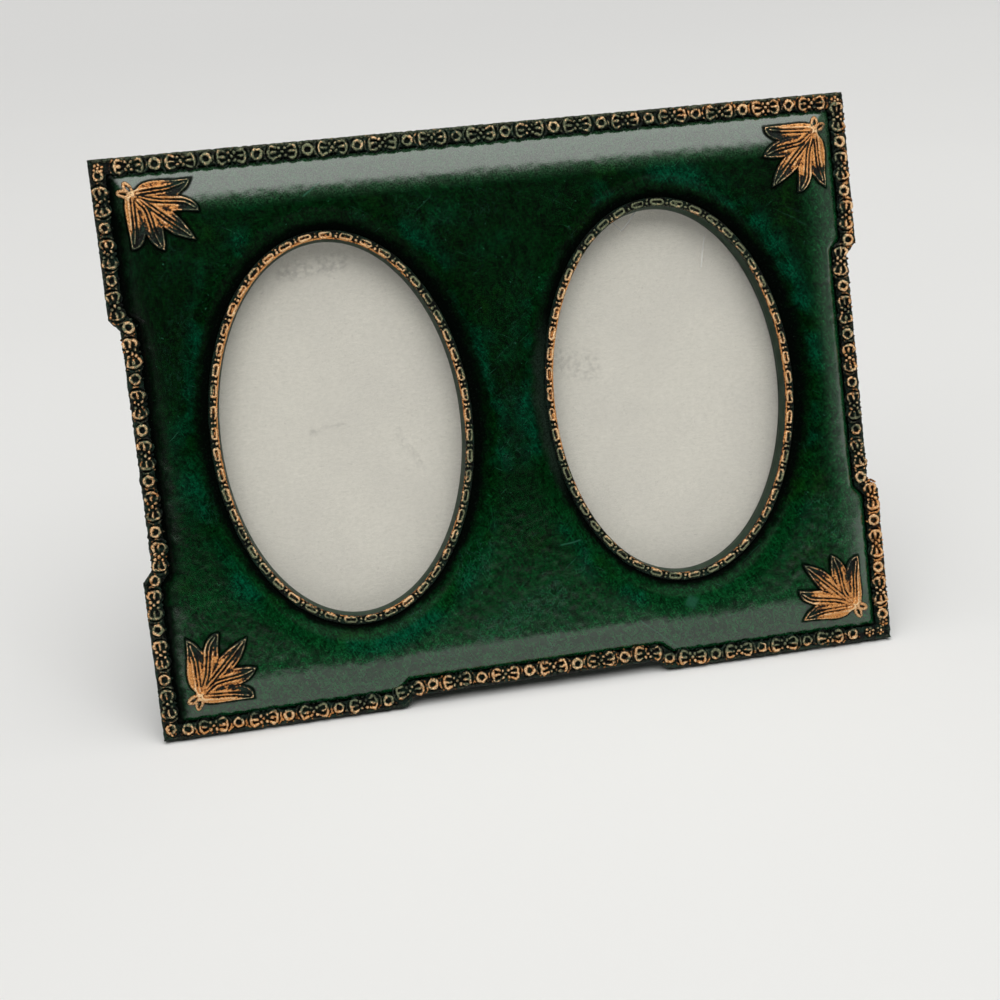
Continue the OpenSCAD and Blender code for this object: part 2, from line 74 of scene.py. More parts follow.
def tree_of(*values):
    """The node tree of the first socket among some values."""
    return next(value.id_data for value in values if isinstance(value, bpy.types.NodeSocket))


def finish_of(name, **sockets):
    """A new material: returns it with its node tree and its surface shader."""
    material = bpy.data.materials.new(name)
    material.use_nodes = True
    surface = material.node_tree.nodes["Principled BSDF"]
    for key, value in sockets.items():
        surface.inputs[key.replace("_", " ")].default_value = value
    return material, material.node_tree, surface


def step(operation, *values):
    """One arithmetic step."""
    inputs = dict(enumerate(values))
    return node(tree_of(*values), "ShaderNodeMath", inputs, operation=operation).outputs[0]


def times(*values):
    """Product of some values."""
    return reduce(lambda first, second: step("MULTIPLY", first, second), values)


def most(*values):
    """Largest of some values."""
    return reduce(lambda first, second: step("MAXIMUM", first, second), values)


def vector_step(operation, *values):
    """One arithmetic step on vectors."""
    inputs = dict(enumerate(values))
    return node(tree_of(*values), "ShaderNodeVectorMath", inputs, operation=operation).outputs


def part_of(where, axis):
    """One coordinate of a place."""
    return node(where.id_data, "ShaderNodeSeparateXYZ", {0: where}).outputs[axis]


def cloud(where, scale, detail=3.0, rough=0.55, stretch=None, warp=0.0):
    """Soft noise between 0 and 1."""
    tree = where.id_data
    if stretch:
        where = node(tree, "ShaderNodeMapping", {"Vector": where, "Scale": stretch}).outputs[0]
    return node(tree, "ShaderNodeTexNoise", {
        "Vector": where, "Scale": scale, "Detail": detail, "Roughness": rough, "Distortion": warp,
    }).outputs["Fac"]


def span(value, low, high, to_low=0.0, to_high=1.0):
    """Maps low..high smoothly to to_low..to_high, clamped."""
    return node(value.id_data, "ShaderNodeMapRange", {
        "Value": value, "From Min": low, "From Max": high, "To Min": to_low, "To Max": to_high,
    }, interpolation_type="SMOOTHSTEP").outputs["Result"]


def blended(share, first, second, mode="MIX"):
    """Mixes two colours by a share."""
    inputs = {0: share}
    for key, value in ((6, first), (7, second)):
        inputs[key] = (*value, 1.0) if isinstance(value, tuple) else value
    return node(tree_of(share, first, second), "ShaderNodeMix", inputs,
                data_type="RGBA", blend_type=mode).outputs[2]


def feed(shader, socket, value):
    """Joins a value to a shader's socket."""
    shader.id_data.links.new(value, shader.inputs[socket])


def relief(surface, height, strength, distance, socket="Normal"):
    """Drives the surface's normal from a height."""
    bump = node(surface.id_data, "ShaderNodeBump", {
        "Height": height, "Strength": strength, "Distance": distance})
    feed(surface, socket, bump.outputs["Normal"])


def placed(name, data):
    """A new object in the scene."""
    made = bpy.data.objects.new(name, data)
    bpy.context.scene.collection.objects.link(made)
    return made


pan, tilt, roll = (math.radians(x) for x in (CAMERA_PAN, CAMERA_TILT, CAMERA_ROLL))
ahead = Vector((math.sin(pan) * math.cos(tilt), math.cos(pan) * math.cos(tilt), -math.sin(tilt)))
level = Vector((math.cos(pan), -math.sin(pan), 0))
upward = level.cross(ahead)
right = level * math.cos(roll) + upward * math.sin(roll)
up = upward * math.cos(roll) - level * math.sin(roll)
camera = placed("camera", bpy.data.cameras.new("camera"))
camera.data.lens, camera.data.sensor_width = CAMERA_LENS, SENSOR
camera.data.clip_start, camera.data.clip_end = 0.01, 50.0
camera.matrix_world = Matrix.Translation(CAMERA_AT) @ Matrix((right, up, -ahead)).transposed().to_4x4()
bpy.context.scene.camera = camera

table_mesh = bpy.data.meshes.new("table_top")
turns = np.linspace(0, 2 * math.pi, TABLE_SIDES, endpoint=False)
table_mesh.from_pydata(
    [(TABLE_RADIUS * math.cos(t), TABLE_RADIUS * math.sin(t), 0.0) for t in turns], [],
    [tuple(range(TABLE_SIDES))])
table_paper, tree, surface = finish_of("table_paper", Roughness=0.62)
where = node(tree, "ShaderNodeTexCoord").outputs["Object"]
paper = blended(span(cloud(where, 2.2, 2.0), 0.3, 0.7), *TABLE_TONES)
# the paper is painted darker towards the back: painted shade, not a colour of the paper
feed(surface, "Base Color", blended(span(part_of(where, "Y"), 0.0, 1.4), paper, TABLE_FAR_PAINTED_SHADE))
table_mesh.materials.append(table_paper)
table_top = placed("table_top", table_mesh)

room = bpy.data.worlds.new("room")
bpy.context.scene.world = room
room.use_nodes = True
direction = node(room.node_tree, "ShaderNodeTexCoord").outputs["Generated"]


def facing(direction, normal, low, high):
    """Share of a side of the room, with a soft border."""
    return span(vector_step("DOT_PRODUCT", direction, normal)["Value"], low, high)


from_edge, to_edge = math.radians(PANEL_FROM), math.radians(PANEL_TO)
sideways, upright = part_of(direction, "X"), part_of(direction, "Z")
panel = times(facing(direction, (0, math.sin(from_edge), math.cos(from_edge)), -0.10, 0.10),
              facing(direction, (0, -math.sin(to_edge), -math.cos(to_edge)), -0.05, 0.05),
              span(step("ABSOLUTE", sideways), 0.5, 0.62, 1.0, 0.0))
front = times(facing(direction, (0, -1, 0), 0.35, 0.95), span(upright, 0.50, 0.62, 1.0, 0.0))
horizon = span(upright, 0.0, 0.20, 1.0, 0.0)
walls = blended(span(sideways, 0.0, 0.75), DIM_WALL, LIT_WALL)
walls = blended(front, walls, blended(times(horizon, horizon), DARK_FRONT, FRONT_HORIZON))
feed(room.node_tree.nodes["Background"], "Color", blended(panel, walls, PANEL_LIGHT))
bpy.context.scene.view_settings.view_transform = "Standard"


# Front casting: a zinc-alloy plate cast with a padded-looking face, a thin flange round it and a
# collar behind, then enamelled green over black, wiped thin on the pad and left black in the
# valleys round the bezels and in the groove inside the trim.
FRAME_W, FRAME_H = 178.0, 133.5
RECESS_DEPTH, RECESS_RUN = 2.4, 2.8
SIDE_RECESS, FOOT_GAP = (37.2, 97.6), 64.4
# Up the side, how far below and above the recess its step has died away on the pad
RECESS_FADE = (-6, 9, 51, 66)
PAD_INSET, PAD_RISE, SHOULDER = 3.6, 3.4, 10.6
OVAL_A, OVAL_B, WINDOW_U, WINDOW_V = 28.1, 43.5, 39.35, 67.0
BEZEL_W, SEAT = 2.2, 0.5
VALLEY, VALLEY_POWER = 2.4, 1.4
CORNER_ROUND, CORNER_STEPS = 0.6, 5
SKIN_STEP, SKIN_EDGE, SKIN_HOLE, SKIN_BACK = 0.47, 3.0, 1.0, -2.8
# Staggered rows: their pitch, and how near an edge a point may lie, as shares of the points' step
ROW_PITCH, EDGE_CLEAR = 0.866, 0.45
HINGE_UP, HINGE_OUT = 95.0, -9.65
# Sections, as distance in from the frame's edge and height above the flange
FLANGE_SECTION = ((6.0, -0.06), (0.5, -0.06), (0.2, -0.14), (0.06, -0.34), (0, -0.65), (0, -1.2), (0, -1.8),
                  (0, -2.35), (0.06, -2.66), (0.2, -2.86), (0.5, -2.97), (1.0, -3.0), (9.0, -3.0))
COLLAR_SECTION = ((5.0, -2.6), (5.0, -7.3), (5.08, -7.65), (5.25, -7.84), (5.6, -7.9),
                  (9.5, -7.9), (9.8, -7.82), (10.0, -7.6), (10.0, -2.6))
FAR_OFF = 20.0
# How much narrower the black round a bezel gets, by the way round it from its right side
SOOT_TURNS = (0, 45, 90, 135, 180, 225, 270, 315, 360)
SOOT_NARROWING = (0.85, 0.75, 1.3, 1.0, 0.95, 1.4, 1.8, 1.1, 0.85)
# Scratches in the enamel: from, to, half-width, strength
FACE_SCRATCHES = ((((-42.2, 120.7), (-38.0, 123.5)), 0.3, 0.8), (((8.1, 33.8), (13.1, 34.4)), 0.3, 0.5),
                  (((25.5, 13.4), (36.9, 3.2)), 0.25, 0.4), (((37.6, 16.6), (39.8, 15.4)), 2.0, 0.45))
RUBBED_PATCH = ((-14.0, 14.5), (8.0, 23.5))
# Colours of the enamel: deep in two tones, then where it pools low, drifts or rings a bezel, and a brighter
# green on the top, bottom and right shoulders, where the glaze thins and a sheen is partly painted
DEEP_TONES = ((0.0005, 0.0108, 0.0016), (0.0007, 0.0155, 0.0028))
LOW_GREEN, THIN_GREEN_AND_PAINTED_SHEEN = (0.0013, 0.0330, 0.0074), (0.0040, 0.0520, 0.0150)
OLIVE_GREEN, BLUE_GREEN = (0.0030, 0.0250, 0.0016), (0.0008, 0.0330, 0.0105)
RING_GREEN = (0.0005, 0.0560, 0.0270)
# Pale greens: the scratched green of wear, also laid on crazing lines as partly painted highlights on the
# wrinkles, and the worn green of the top edge, partly a painted sheen
SCRATCHED_AND_GLINT_GREEN, EDGE_WORN_AND_PAINTED_SHEEN = (0.030, 0.130, 0.080), (0.050, 0.095, 0.055)
# Black in two tones, and the grey of a sheen painted on it
SOOT_TONES, PAINTED_SHEEN_GREY = ((0.0012, 0.0022, 0.0015), (0.016, 0.026, 0.019)), (0.020, 0.036, 0.025)

joints = {j["name"]: j for j in frame["joints"]}
button_axis = joints["turn_button_top_left_turn"]["axis"]
LEAN = math.atan2(-button_axis[2], button_axis[1])
hinge_at = joints["leg_fold"]["pos_m"]
STAND_Y = hinge_at[1] * 1000 - HINGE_UP * math.sin(LEAN) + HINGE_OUT * math.cos(LEAN)
STAND_Z = hinge_at[2] * 1000 - HINGE_UP * math.cos(LEAN) - HINGE_OUT * math.sin(LEAN)


def stood(points):
    """Face coordinates in millimetres (across, up the face, out of it) to the scene, in metres."""
    u, v, w = np.moveaxis(np.asarray(points, float), -1, 0)
    return np.stack([u, v * math.sin(LEAN) - w * math.cos(LEAN) + STAND_Y,
                     v * math.cos(LEAN) + w * math.sin(LEAN) + STAND_Z], -1) / 1000


def face_millimetres(tree):
    """Where a point lies across the face, up it and out of it, in millimetres."""
    here = node(tree, "ShaderNodeTexCoord").outputs["Object"]
    return node(tree, "ShaderNodeMapping", {
        "Vector": here, "Rotation": (LEAN - math.pi / 2, 0, 0), "Scale": (1000, 1000, 1000),
        "Location": (0, -STAND_Y * math.sin(LEAN) - STAND_Z * math.cos(LEAN),
                     STAND_Y * math.cos(LEAN) - STAND_Z * math.sin(LEAN)),
    }).outputs["Vector"]


def outline(inset):
    """Corners of the frame's outline, anticlockwise from the lower left, moved in by a distance."""
    w, g, (low, high) = FRAME_W / 2, FOOT_GAP / 2, SIDE_RECESS
    p = np.array([
        (-w, 0), (-g, 0), (-g + RECESS_RUN, RECESS_DEPTH), (g - RECESS_RUN, RECESS_DEPTH), (g, 0),
        (w, 0), (w, low), (w - RECESS_DEPTH, low + RECESS_RUN), (w - RECESS_DEPTH, high - RECESS_RUN),
        (w, high), (w, FRAME_H), (-w, FRAME_H), (-w, high), (-w + RECESS_DEPTH, high - RECESS_RUN),
        (-w + RECESS_DEPTH, low + RECESS_RUN), (-w, low)])
    along = np.roll(p, -1, 0) - p
    after = np.stack([-along[:, 1], along[:, 0]], 1) / np.linalg.norm(along, axis=1)[:, None]
    before = np.roll(after, 1, 0)
    return p + inset * (before + after) / (1 + (before * after).sum(1))[:, None]


def rounded(corners, radius, steps=CORNER_STEPS):
    """A closed outline with each corner replaced by a small curve."""
    corners = np.asarray(corners, float)
    out = []
    for i, here in enumerate(corners):
        a, b = corners[i - 1] - here, corners[(i + 1) % len(corners)] - here
        cut = min(radius, 0.4 * np.linalg.norm(a), 0.4 * np.linalg.norm(b))
        a, b = here + a / np.linalg.norm(a) * cut, here + b / np.linalg.norm(b) * cut
        for t in np.linspace(0, 1, steps):
            out.append((1 - t) ** 2 * a + 2 * t * (1 - t) * here + t ** 2 * b)
    return np.array(out)


def oval(margin, count, side=0):
    """Points round an oval grown by a margin along its normal, anticlockwise."""
    t = np.linspace(0, 2 * math.pi, count, endpoint=False)
    normal = np.stack([np.cos(t) / OVAL_A, np.sin(t) / OVAL_B], 1)
    normal /= np.linalg.norm(normal, axis=1)[:, None]
    centre = (side * WINDOW_U, WINDOW_V) if side else (0, 0)
    return np.stack([OVAL_A * np.cos(t), OVAL_B * np.sin(t)], 1) + margin * normal + centre


def quads(rows, size, ends_meet=False, closed=True):
    """Faces between each row of points and the next, in rows of one size."""
    return [(i * size + k, i * size + (k + 1) % size, (i + 1) % rows * size + (k + 1) % size,
             (i + 1) % rows * size + k)
            for i in range(rows if ends_meet else rows - 1) for k in range(size if closed else size - 1)]


def lofted(loops):
    """A closed ring whose section runs through equally long closed loops of points."""
    return np.concatenate(loops), quads(len(loops), len(loops[0]), ends_meet=True)


def plated(loops):
    """A solid between the first and last of some equally long closed loops of points."""
    rows, size = len(loops), len(loops[0])
    lids = [tuple(range((rows - 1) * size, rows * size)), tuple(reversed(range(size)))]
    return np.concatenate(loops), quads(rows, size) + lids


def at_height(flat, w):
    """Flat points at one height."""
    return np.column_stack([flat, np.full(len(flat), w)])


def piece(name, points, faces, material, smooth=True, stand=True, **marks):
    """A mesh object from points in face coordinates, with a number for each point under each mark."""
    mesh = bpy.data.meshes.new(name)
    places = stood(points) if stand else np.asarray(points)
    places[:, 2] = np.maximum(places[:, 2], 0.0)
    mesh.from_pydata(places.tolist(), [], faces)
    for key, values in marks.items():
        mesh.attributes.new(key, "FLOAT", "POINT").data.foreach_set(
            "value", np.asarray(values, np.float32))
    work = bmesh.new()
    work.from_mesh(mesh)
    bmesh.ops.recalc_face_normals(work, faces=work.faces)
    work.to_mesh(mesh)
    work.free()
    mesh.polygons.foreach_set("use_smooth", [smooth] * len(mesh.polygons))
    mesh.materials.append(material)
    return placed(name, mesh)


def stacked(*shells):
    """Several (points, faces, marks) shells as one."""
    points, faces, marks, start = [], [], {}, 0
    keys = dict.fromkeys(key for shell in shells for key in shell[2])
    for p, f, m in shells:
        points.append(p)
        faces += [tuple(int(i) + start for i in face) for face in f]
        for key in keys:
            marks.setdefault(key, []).append(np.broadcast_to(m.get(key, 0.0), len(p)))
        start += len(p)
    return np.concatenate(points), faces, {key: np.concatenate(v) for key, v in marks.items()}


PAD_EDGE = outline(PAD_INSET)


def beside_edge(u, v):
    """Distance from the pad's edge at the sides and at the bottom and top, and the shoulder's widths."""
    side = np.interp(v, PAD_EDGE[5:11, 1], PAD_EDGE[5:11, 0])
    low = np.interp(u, PAD_EDGE[0:6, 0], PAD_EDGE[0:6, 1])
    core = FRAME_W / 2 - PAD_INSET - SHOULDER
    across, under, over = side - np.abs(u), v - low, FRAME_H - PAD_INSET - v
    return across, under, over, side - core, PAD_INSET + SHOULDER - low


def from_pad_edge(u, v):
    """Distance from the pad's nearest edge."""
    across, under, over, _, _ = beside_edge(u, v)
    return np.minimum(np.minimum(across, under), over)


def round_bezel(u, v):
    """Distance outwards from the nearer bezel's outer edge."""
    a, b = OVAL_A + BEZEL_W, OVAL_B + BEZEL_W
    x, y = np.abs(u) - WINDOW_U, v - WINDOW_V
    rho = (x / a) ** 2 + (y / b) ** 2
    return (rho - 1) / (2 * np.sqrt(x ** 2 / a ** 4 + y ** 2 / b ** 4) + 1e-9)


def pad_height(u, v):
    """Height of the padded face above the flange."""
    u, v = np.asarray(u, float), np.asarray(v, float)
    across, under, over, side_run, low_run = beside_edge(u, v)
    radius = (SHOULDER ** 2 + PAD_RISE ** 2) / (2 * PAD_RISE)

    def drop(distance, run):
        left = SHOULDER * (1 - np.clip(distance / run, 0, 1)) ** 1.2
        return radius - np.sqrt(radius ** 2 - left ** 2)

    # the recesses' steps die away towards the pad's middle
    wide, narrow = FRAME_W / 2 - PAD_INSET, FRAME_W / 2 - PAD_INSET - RECESS_DEPTH
    soft = np.interp(v, SIDE_RECESS[0] + np.array(RECESS_FADE), (wide, narrow, narrow, wide)) - np.abs(u)
    inner = np.clip(across / 2.2, 0, 1)
    side_run = side_run + (soft - across) * inner
    across = across + (soft - across) * inner

    upright = np.maximum(drop(under, low_run), drop(over, SHOULDER))
    lost = (drop(across, side_run) ** 4 + upright ** 4) ** 0.25
    face = PAD_RISE - np.minimum(lost, PAD_RISE)
    rise = 1 - np.exp(-(np.maximum(round_bezel(u, v), 0) / VALLEY) ** VALLEY_POWER)
    return SEAT + (face - SEAT) * rise


# The leaf's outline from its stalk, between its sharp tips and notches
LEAF_ROOT = 9.2
LEAF_TIPS = (((-1.0, -1.5), (0.2, -3.3), (2.9, -6.0), (5.4, -8.4), (7.0, -10.0)),
             ((7.0, -10.0), (8.0, -8.8), (8.2, -7.2), (7.6, -5.3)),
             ((7.6, -5.3), (9.4, -5.95), (11.3, -6.1), (13.0, -5.7)),
             ((13.0, -5.7), (12.2, -4.4), (11.0, -3.0), (9.7, -1.7)),
             ((9.7, -1.7), (12.3, -1.5), (14.8, -0.7), (17.1, 0.5)),
             ((17.1, 0.5), (15.0, 1.35), (12.0, 2.15), (9.4, 2.5)),
             ((9.4, 2.5), (11.0, 3.9), (12.6, 5.1), (13.9, 6.1)),
             ((13.9, 6.1), (12.8, 6.95), (11.2, 7.15), (9.6, 6.8), (8.2, 6.2)),
             ((8.2, 6.2), (8.3, 7.4), (8.5, 8.9), (8.0, 11.2)),
             ((8.0, 11.2), (5.8, 9.1), (3.4, 7.1), (1.2, 5.2), (0.0, 3.3), (-0.2, 1.5)),
             ((-0.2, 1.5), (-0.9, 0.6), (-1.2, -0.3), (-1.0, -1.5)))
# Corner: side, top or not, the way the leaf faces, and how far it was set off its place
CORNERS = {"top_left": (-1, 1, -42.5, (-0.2, 0.2)), "top_right": (1, 1, 225, (0.2, 0.3)),
           "bottom_left": (-1, 0, 44, (0.7, 0.8)), "bottom_right": (1, 0, 135, (-0.3, 0.5))}


def curved(corners, steps):
    """A smooth path through a few points."""
    corners = np.asarray(corners, float)
    padded = np.concatenate([2 * corners[:1] - corners[1:2], corners, 2 * corners[-1:] - corners[-2:-1]])
    out = []
    for i in range(len(corners) - 1):
        a, b, c, d = padded[i:i + 4]
        for t in np.linspace(0, 1, steps, endpoint=False):
            out.append(0.5 * (2 * b + (c - a) * t + (2 * a - 5 * b + 4 * c - d) * t ** 2
                              + (3 * b - a - 3 * c + d) * t ** 3))
    out.append(corners[-1])
    return np.array(out)


LEAF_EDGE = np.concatenate([curved(run, 9)[:-1] for run in LEAF_TIPS])


def away_from(line, x, y, closed=False):
    """Distance of points from a path, and how far along it the nearest place is."""
    ends = np.concatenate([line, line[:1]]) if closed else np.asarray(line)
    least, along = np.full(np.shape(x), 1e9), np.zeros(np.shape(x))
    for i, (a, b) in enumerate(zip(ends, ends[1:])):
        run = b - a
        share = np.clip(((x - a[0]) * run[0] + (y - a[1]) * run[1]) / (run @ run + 1e-12), 0, 1)
        distance = np.hypot(x - a[0] - share * run[0], y - a[1] - share * run[1])
        nearer = distance < least
        least = np.where(nearer, distance, least)
        along = np.where(nearer, (i + share) / (len(ends) - 1), along)
    return least, along


def leaf_root(corner):
    """Where a corner's leaf is rooted on the face."""
    side, top, _, moved = CORNERS[corner]
    return np.array([side * (FRAME_W / 2 - LEAF_ROOT), FRAME_H - LEAF_ROOT if top else LEAF_ROOT]) + moved


def near_leaf(u, v):
    """Distance from the nearest leaf's edge, up to a few millimetres."""
    least = np.full(np.shape(u), FAR_OFF)
    for corner in CORNERS:
        root, a = leaf_root(corner), math.radians(CORNERS[corner][2])
        x = (u - root[0]) * math.cos(a) + (v - root[1]) * math.sin(a)
        y = (v - root[1]) * math.cos(a) - (u - root[0]) * math.sin(a)
        close = np.hypot(x - 6, y) < 15
        least[close] = np.minimum(least[close], away_from(LEAF_EDGE, x[close], y[close], closed=True)[0])
    return least


def hammered(u, v):
    """Unevenness of the cast and hand-finished face."""
    out = np.empty(len(u))
    for i, (x, y) in enumerate(zip(u, v)):
        dents = noise.noise((x / 2.1, y / 2.1, 3.0)) + 0.6 * noise.noise((x / 1.1, y / 1.1, 8.0))
        out[i] = 0.035 * dents + 0.05 * noise.noise((x / 11, y / 11, 1.5))
    return out


def staggered(x, y, pitch):
    """Rows of points, every second one moved by half a step."""
    return np.concatenate([np.column_stack([x + (i % 2) * pitch / 2, np.full(len(x), v)])
                           for i, v in enumerate(y)])


def triangulated(flat, edges, mode, least):
    """Triangles over flat points that keep to some edges, and the points."""
    places, _, triangles, _, _, _ = geometry.delaunay_2d_cdt(
        [Vector(p) for p in flat], edges, [], mode, least)
    return np.array([tuple(p) for p in places]), triangles


def casting_skin():
    """The padded face as one fine sheet with a plain back, pierced by the two ovals."""
    grid = staggered(np.arange(-FRAME_W / 2, FRAME_W / 2, SKIN_STEP),
                     np.arange(0, FRAME_H, SKIN_STEP * ROW_PITCH), SKIN_STEP)
    edge = rounded(outline(SKIN_EDGE), 0.5)
    rim = np.concatenate([np.linspace(a, b, max(2, round(np.linalg.norm(b - a) / SKIN_STEP) + 1))[:-1]
                          for a, b in zip(edge, np.roll(edge, -1, 0))])
    holes = [oval(SKIN_HOLE, 480, side) for side in (-1, 1)]
    clear = EDGE_CLEAR * SKIN_STEP
    keep = (from_pad_edge(*grid.T) + PAD_INSET - SKIN_EDGE > clear * 1.3) \
        & (round_bezel(*grid.T) > SKIN_HOLE - BEZEL_W + clear)
    edges, start = [], 0
    for loop in (rim, *holes):
        edges += [(start + (i - 1) % len(loop), start + i) for i in range(len(loop))]
        start += len(loop)
    flat, triangles = triangulated(np.concatenate([rim, *holes, grid[keep]]), edges, 0, 1e-5)
    triangles = np.array(triangles)
    middle = flat[triangles].mean(1)
    triangles = triangles[(from_pad_edge(*middle.T) > SKIN_EDGE - PAD_INSET - 0.02)
                          & (round_bezel(*middle.T) > SKIN_HOLE - BEZEL_W - 0.01)]
    used, triangles = np.unique(triangles, return_inverse=True)
    flat, triangles = flat[used], triangles.reshape(-1, 3)
    a, b, c = (flat[triangles[:, k]] for k in range(3))
    turned = np.cross(b - a, c - a) < 0
    triangles[turned] = triangles[turned][:, ::-1]

    across, under, over, _, _ = beside_edge(*flat.T)
    ring = round_bezel(*flat.T)
    fade = np.clip(from_pad_edge(*flat.T) / 2.0, 0, 1) * np.clip(ring / 1.5, 0, 1)
    height = pad_height(*flat.T) + hammered(*flat.T) * fade - 0.02
    # the black in the groove is patina, narrow above; on the left it is widened into painted shade, standing
    # in for the dark that the left shoulder mirrors
    patina = np.minimum(np.minimum(across * np.where(flat[:, 0] < 0, 0.22, 0.8), under), over * 1.6)
    around = np.degrees(np.arctan2(flat[:, 1] - WINDOW_V, flat[:, 0] - np.sign(flat[:, 0]) * WINDOW_U)) % 360
    soot = ring * np.interp(around, SOOT_TURNS, SOOT_NARROWING)

    border = dict.fromkeys((tri[k], tri[(k + 1) % 3]) for tri in triangles.tolist() for k in range(3))
    ends = [pair for pair in border if (pair[1], pair[0]) not in border]
    lip = sorted({i for pair in ends for i in pair})
    place = {i: k for k, i in enumerate(lip)}
    behind = len(flat)
    points = np.concatenate([np.column_stack([flat, height]), at_height(flat[lip], SKIN_BACK)])
    faces = triangles.tolist() + [(b, a, behind + place[a], behind + place[b]) for a, b in ends]
    under_flat, back = flat[lip], triangulated(flat[lip], [(place[a], place[b]) for a, b in ends], 0, 1e-6)[1]
    for tri in back:
        p, q, r = (Vector(under_flat[i]) for i in tri)
        x, y = np.mean([p, q, r], 0)
        if round_bezel(x, y) >= SKIN_HOLE - BEZEL_W and from_pad_edge(x, y) >= SKIN_EDGE - PAD_INSET:
            faces.append(tuple(behind + i for i in (tri if (q - p).cross(r - p) < 0 else tri[::-1])))
    marks = {"groove": patina, "bezel": ring, "soot": soot, "leaf": near_leaf(*flat.T)}
    return points, faces, {key: np.concatenate([value, value[lip]]) for key, value in marks.items()}


def casting_flange():
    """The thin plate round the pad, with softened edges."""
    points, faces = lofted([at_height(rounded(outline(d), max(CORNER_ROUND - d, 0.2)), w)
                            for d, w in FLANGE_SECTION])
    return points, faces, {"groove": 0.6, "bezel": FAR_OFF, "soot": FAR_OFF, "leaf": FAR_OFF}


def casting_collar():
    """The rectangular wall behind, which the back board drops into."""
    loops = []
    for d, w in COLLAR_SECTION:
        u, v = FRAME_W / 2 - d, FRAME_H - d
        loops.append(at_height(rounded([(-u, d), (u, d), (u, v), (-u, v)], 1.4, 7), w))
    points, faces = lofted(loops)
    return points, faces, {"groove": 3.0, "bezel": FAR_OFF, "soot": FAR_OFF, "leaf": FAR_OFF}


green_enamel, tree, surface = finish_of(
    "green_enamel", Specular_IOR_Level=0.0, Roughness=0.6, Coat_Roughness=0.11, Coat_IOR=1.85)
where = face_millimetres(tree)


def mark_of(tree, name):
    """A number stored on the mesh."""
    return node(tree, "ShaderNodeAttribute", attribute_name=name).outputs["Fac"]


def between(value, rise, full, still, gone):
    """1 from full to still, fading out to rise and to gone."""
    return times(span(value, rise, full), span(value, still, gone, 1.0, 0.0))


def veins(where, scale, width, detail=3.0, warp=0.0, stretch=None):
    """Thin wandering lines, 1 on the line."""
    off_middle = step("SUBTRACT", cloud(where, scale, detail, 0.6, stretch, warp), 0.5)
    return span(step("ABSOLUTE", off_middle), 0.0, width, 1.0, 0.0)


def kept_black(ragged, mark, inner, outer, wander):
    """Share of black left within a distance of an edge, with a ragged border."""
    distance = mark_of(ragged.id_data, mark)
    return span(step("MULTIPLY_ADD", ragged, wander, distance), inner, outer, 1.0, 0.0)


def near_line(where, line, width, wander=0.3):
    """1 on a thin line between two places on the face, wavering a little."""
    tree, ((ua, va), (ub, vb)) = where.id_data, line
    run = math.hypot(ub - ua, vb - va)
    drift = node(tree, "ShaderNodeTexNoise", {"Vector": where, "Scale": 0.25, "Detail": 2.0}).outputs["Color"]
    loose = vector_step("SUBTRACT", drift, (0.5, 0.5, 0.5))[0]
    moved = vector_step("MULTIPLY_ADD", loose, (wander * 2,) * 3, where)[0]
    turned = node(tree, "ShaderNodeMapping", {
        "Vector": vector_step("ADD", moved, (-ua, -va, 0))[0],
        "Rotation": (0, 0, -math.atan2(vb - va, ub - ua))}).outputs[0]
    return times(span(step("ABSOLUTE", part_of(turned, "Y")), width * 0.3, width, 1.0, 0.0),
                 between(part_of(turned, "X"), -0.5, 0.5, run - 0.5, run + 0.5))


def scored(where, angle, coarse, low, high):
    """Fine straight brush marks at an angle, 1 on a mark."""
    laid = node(where.id_data, "ShaderNodeMapping", {
        "Vector": where, "Rotation": (0, 0, math.radians(angle))}).outputs[0]
    return span(cloud(laid, coarse, 3.0, 0.65, stretch=(0.12, 2.6, 1.0), warp=0.35), low, high)


across_face, up_face, bezel = part_of(where, "X"), part_of(where, "Y"), mark_of(tree, "bezel")
wrinkles = cloud(where, 0.62, 4.0, 0.62, stretch=(1.0, 0.8, 1.0), warp=1.1)
fine = cloud(where, 2.4, 4.0, 0.68)
broad = cloud(where, 0.030, 2.0, 0.5)
drift = cloud(where, 0.060, 3.0, 0.55, warp=0.3)
ragged = step("MULTIPLY_ADD", cloud(where, 0.33, 4.0, 0.7), 3.0, -1.5)
low_face = step("MULTIPLY_ADD", broad, 34.0, up_face)

# the glaze over the black
# brighter green on the top, bottom and right shoulders: thinner glaze, and partly a painted sheen for the
# light those shoulders mirror; the left shoulder, which mirrors the dark, gets none
thin = most(span(across_face, 74.0, 80.0, 0.0, 0.9), span(up_face, 22.0, 11.0, 0.0, 0.9),
            span(up_face, 118.5, 123.0, 0.0, 0.7))
patchy = span(cloud(where, 0.045, 3.0, 0.6), 0.46, 0.60, 0.0, 0.65)
glaze = blended(span(broad, 0.38, 0.62), *DEEP_TONES)
for share, green in ((span(low_face, 78.0, 40.0), LOW_GREEN),
                     (span(drift, 0.44, 0.30, 0.0, 0.6), OLIVE_GREEN),
                     (span(drift, 0.56, 0.70, 0.0, 0.5), BLUE_GREEN), (thin, THIN_GREEN_AND_PAINTED_SHEEN),
                     (times(between(bezel, 2.4, 4.4, 4.6, 9.5), patchy), RING_GREEN)):
    glaze = blended(share, glaze, green)
shades = times(step("MULTIPLY_ADD", span(wrinkles, 0.36, 0.60), 0.75, 0.42),
               span(fine, 0.32, 0.68, 0.52, 1.50),
               span(cloud(where, 1.3, 3.0, 0.6), 0.34, 0.66, 0.68, 1.32))
shades = step("MULTIPLY_ADD", scored(where, 62, 1.0, 0.52, 0.66), 0.6, shades)
shades = node(tree, "ShaderNodeCombineColor", {0: shades, 1: shades, 2: shades}).outputs[0]
glaze = blended(1.0, glaze, shades, "MULTIPLY")
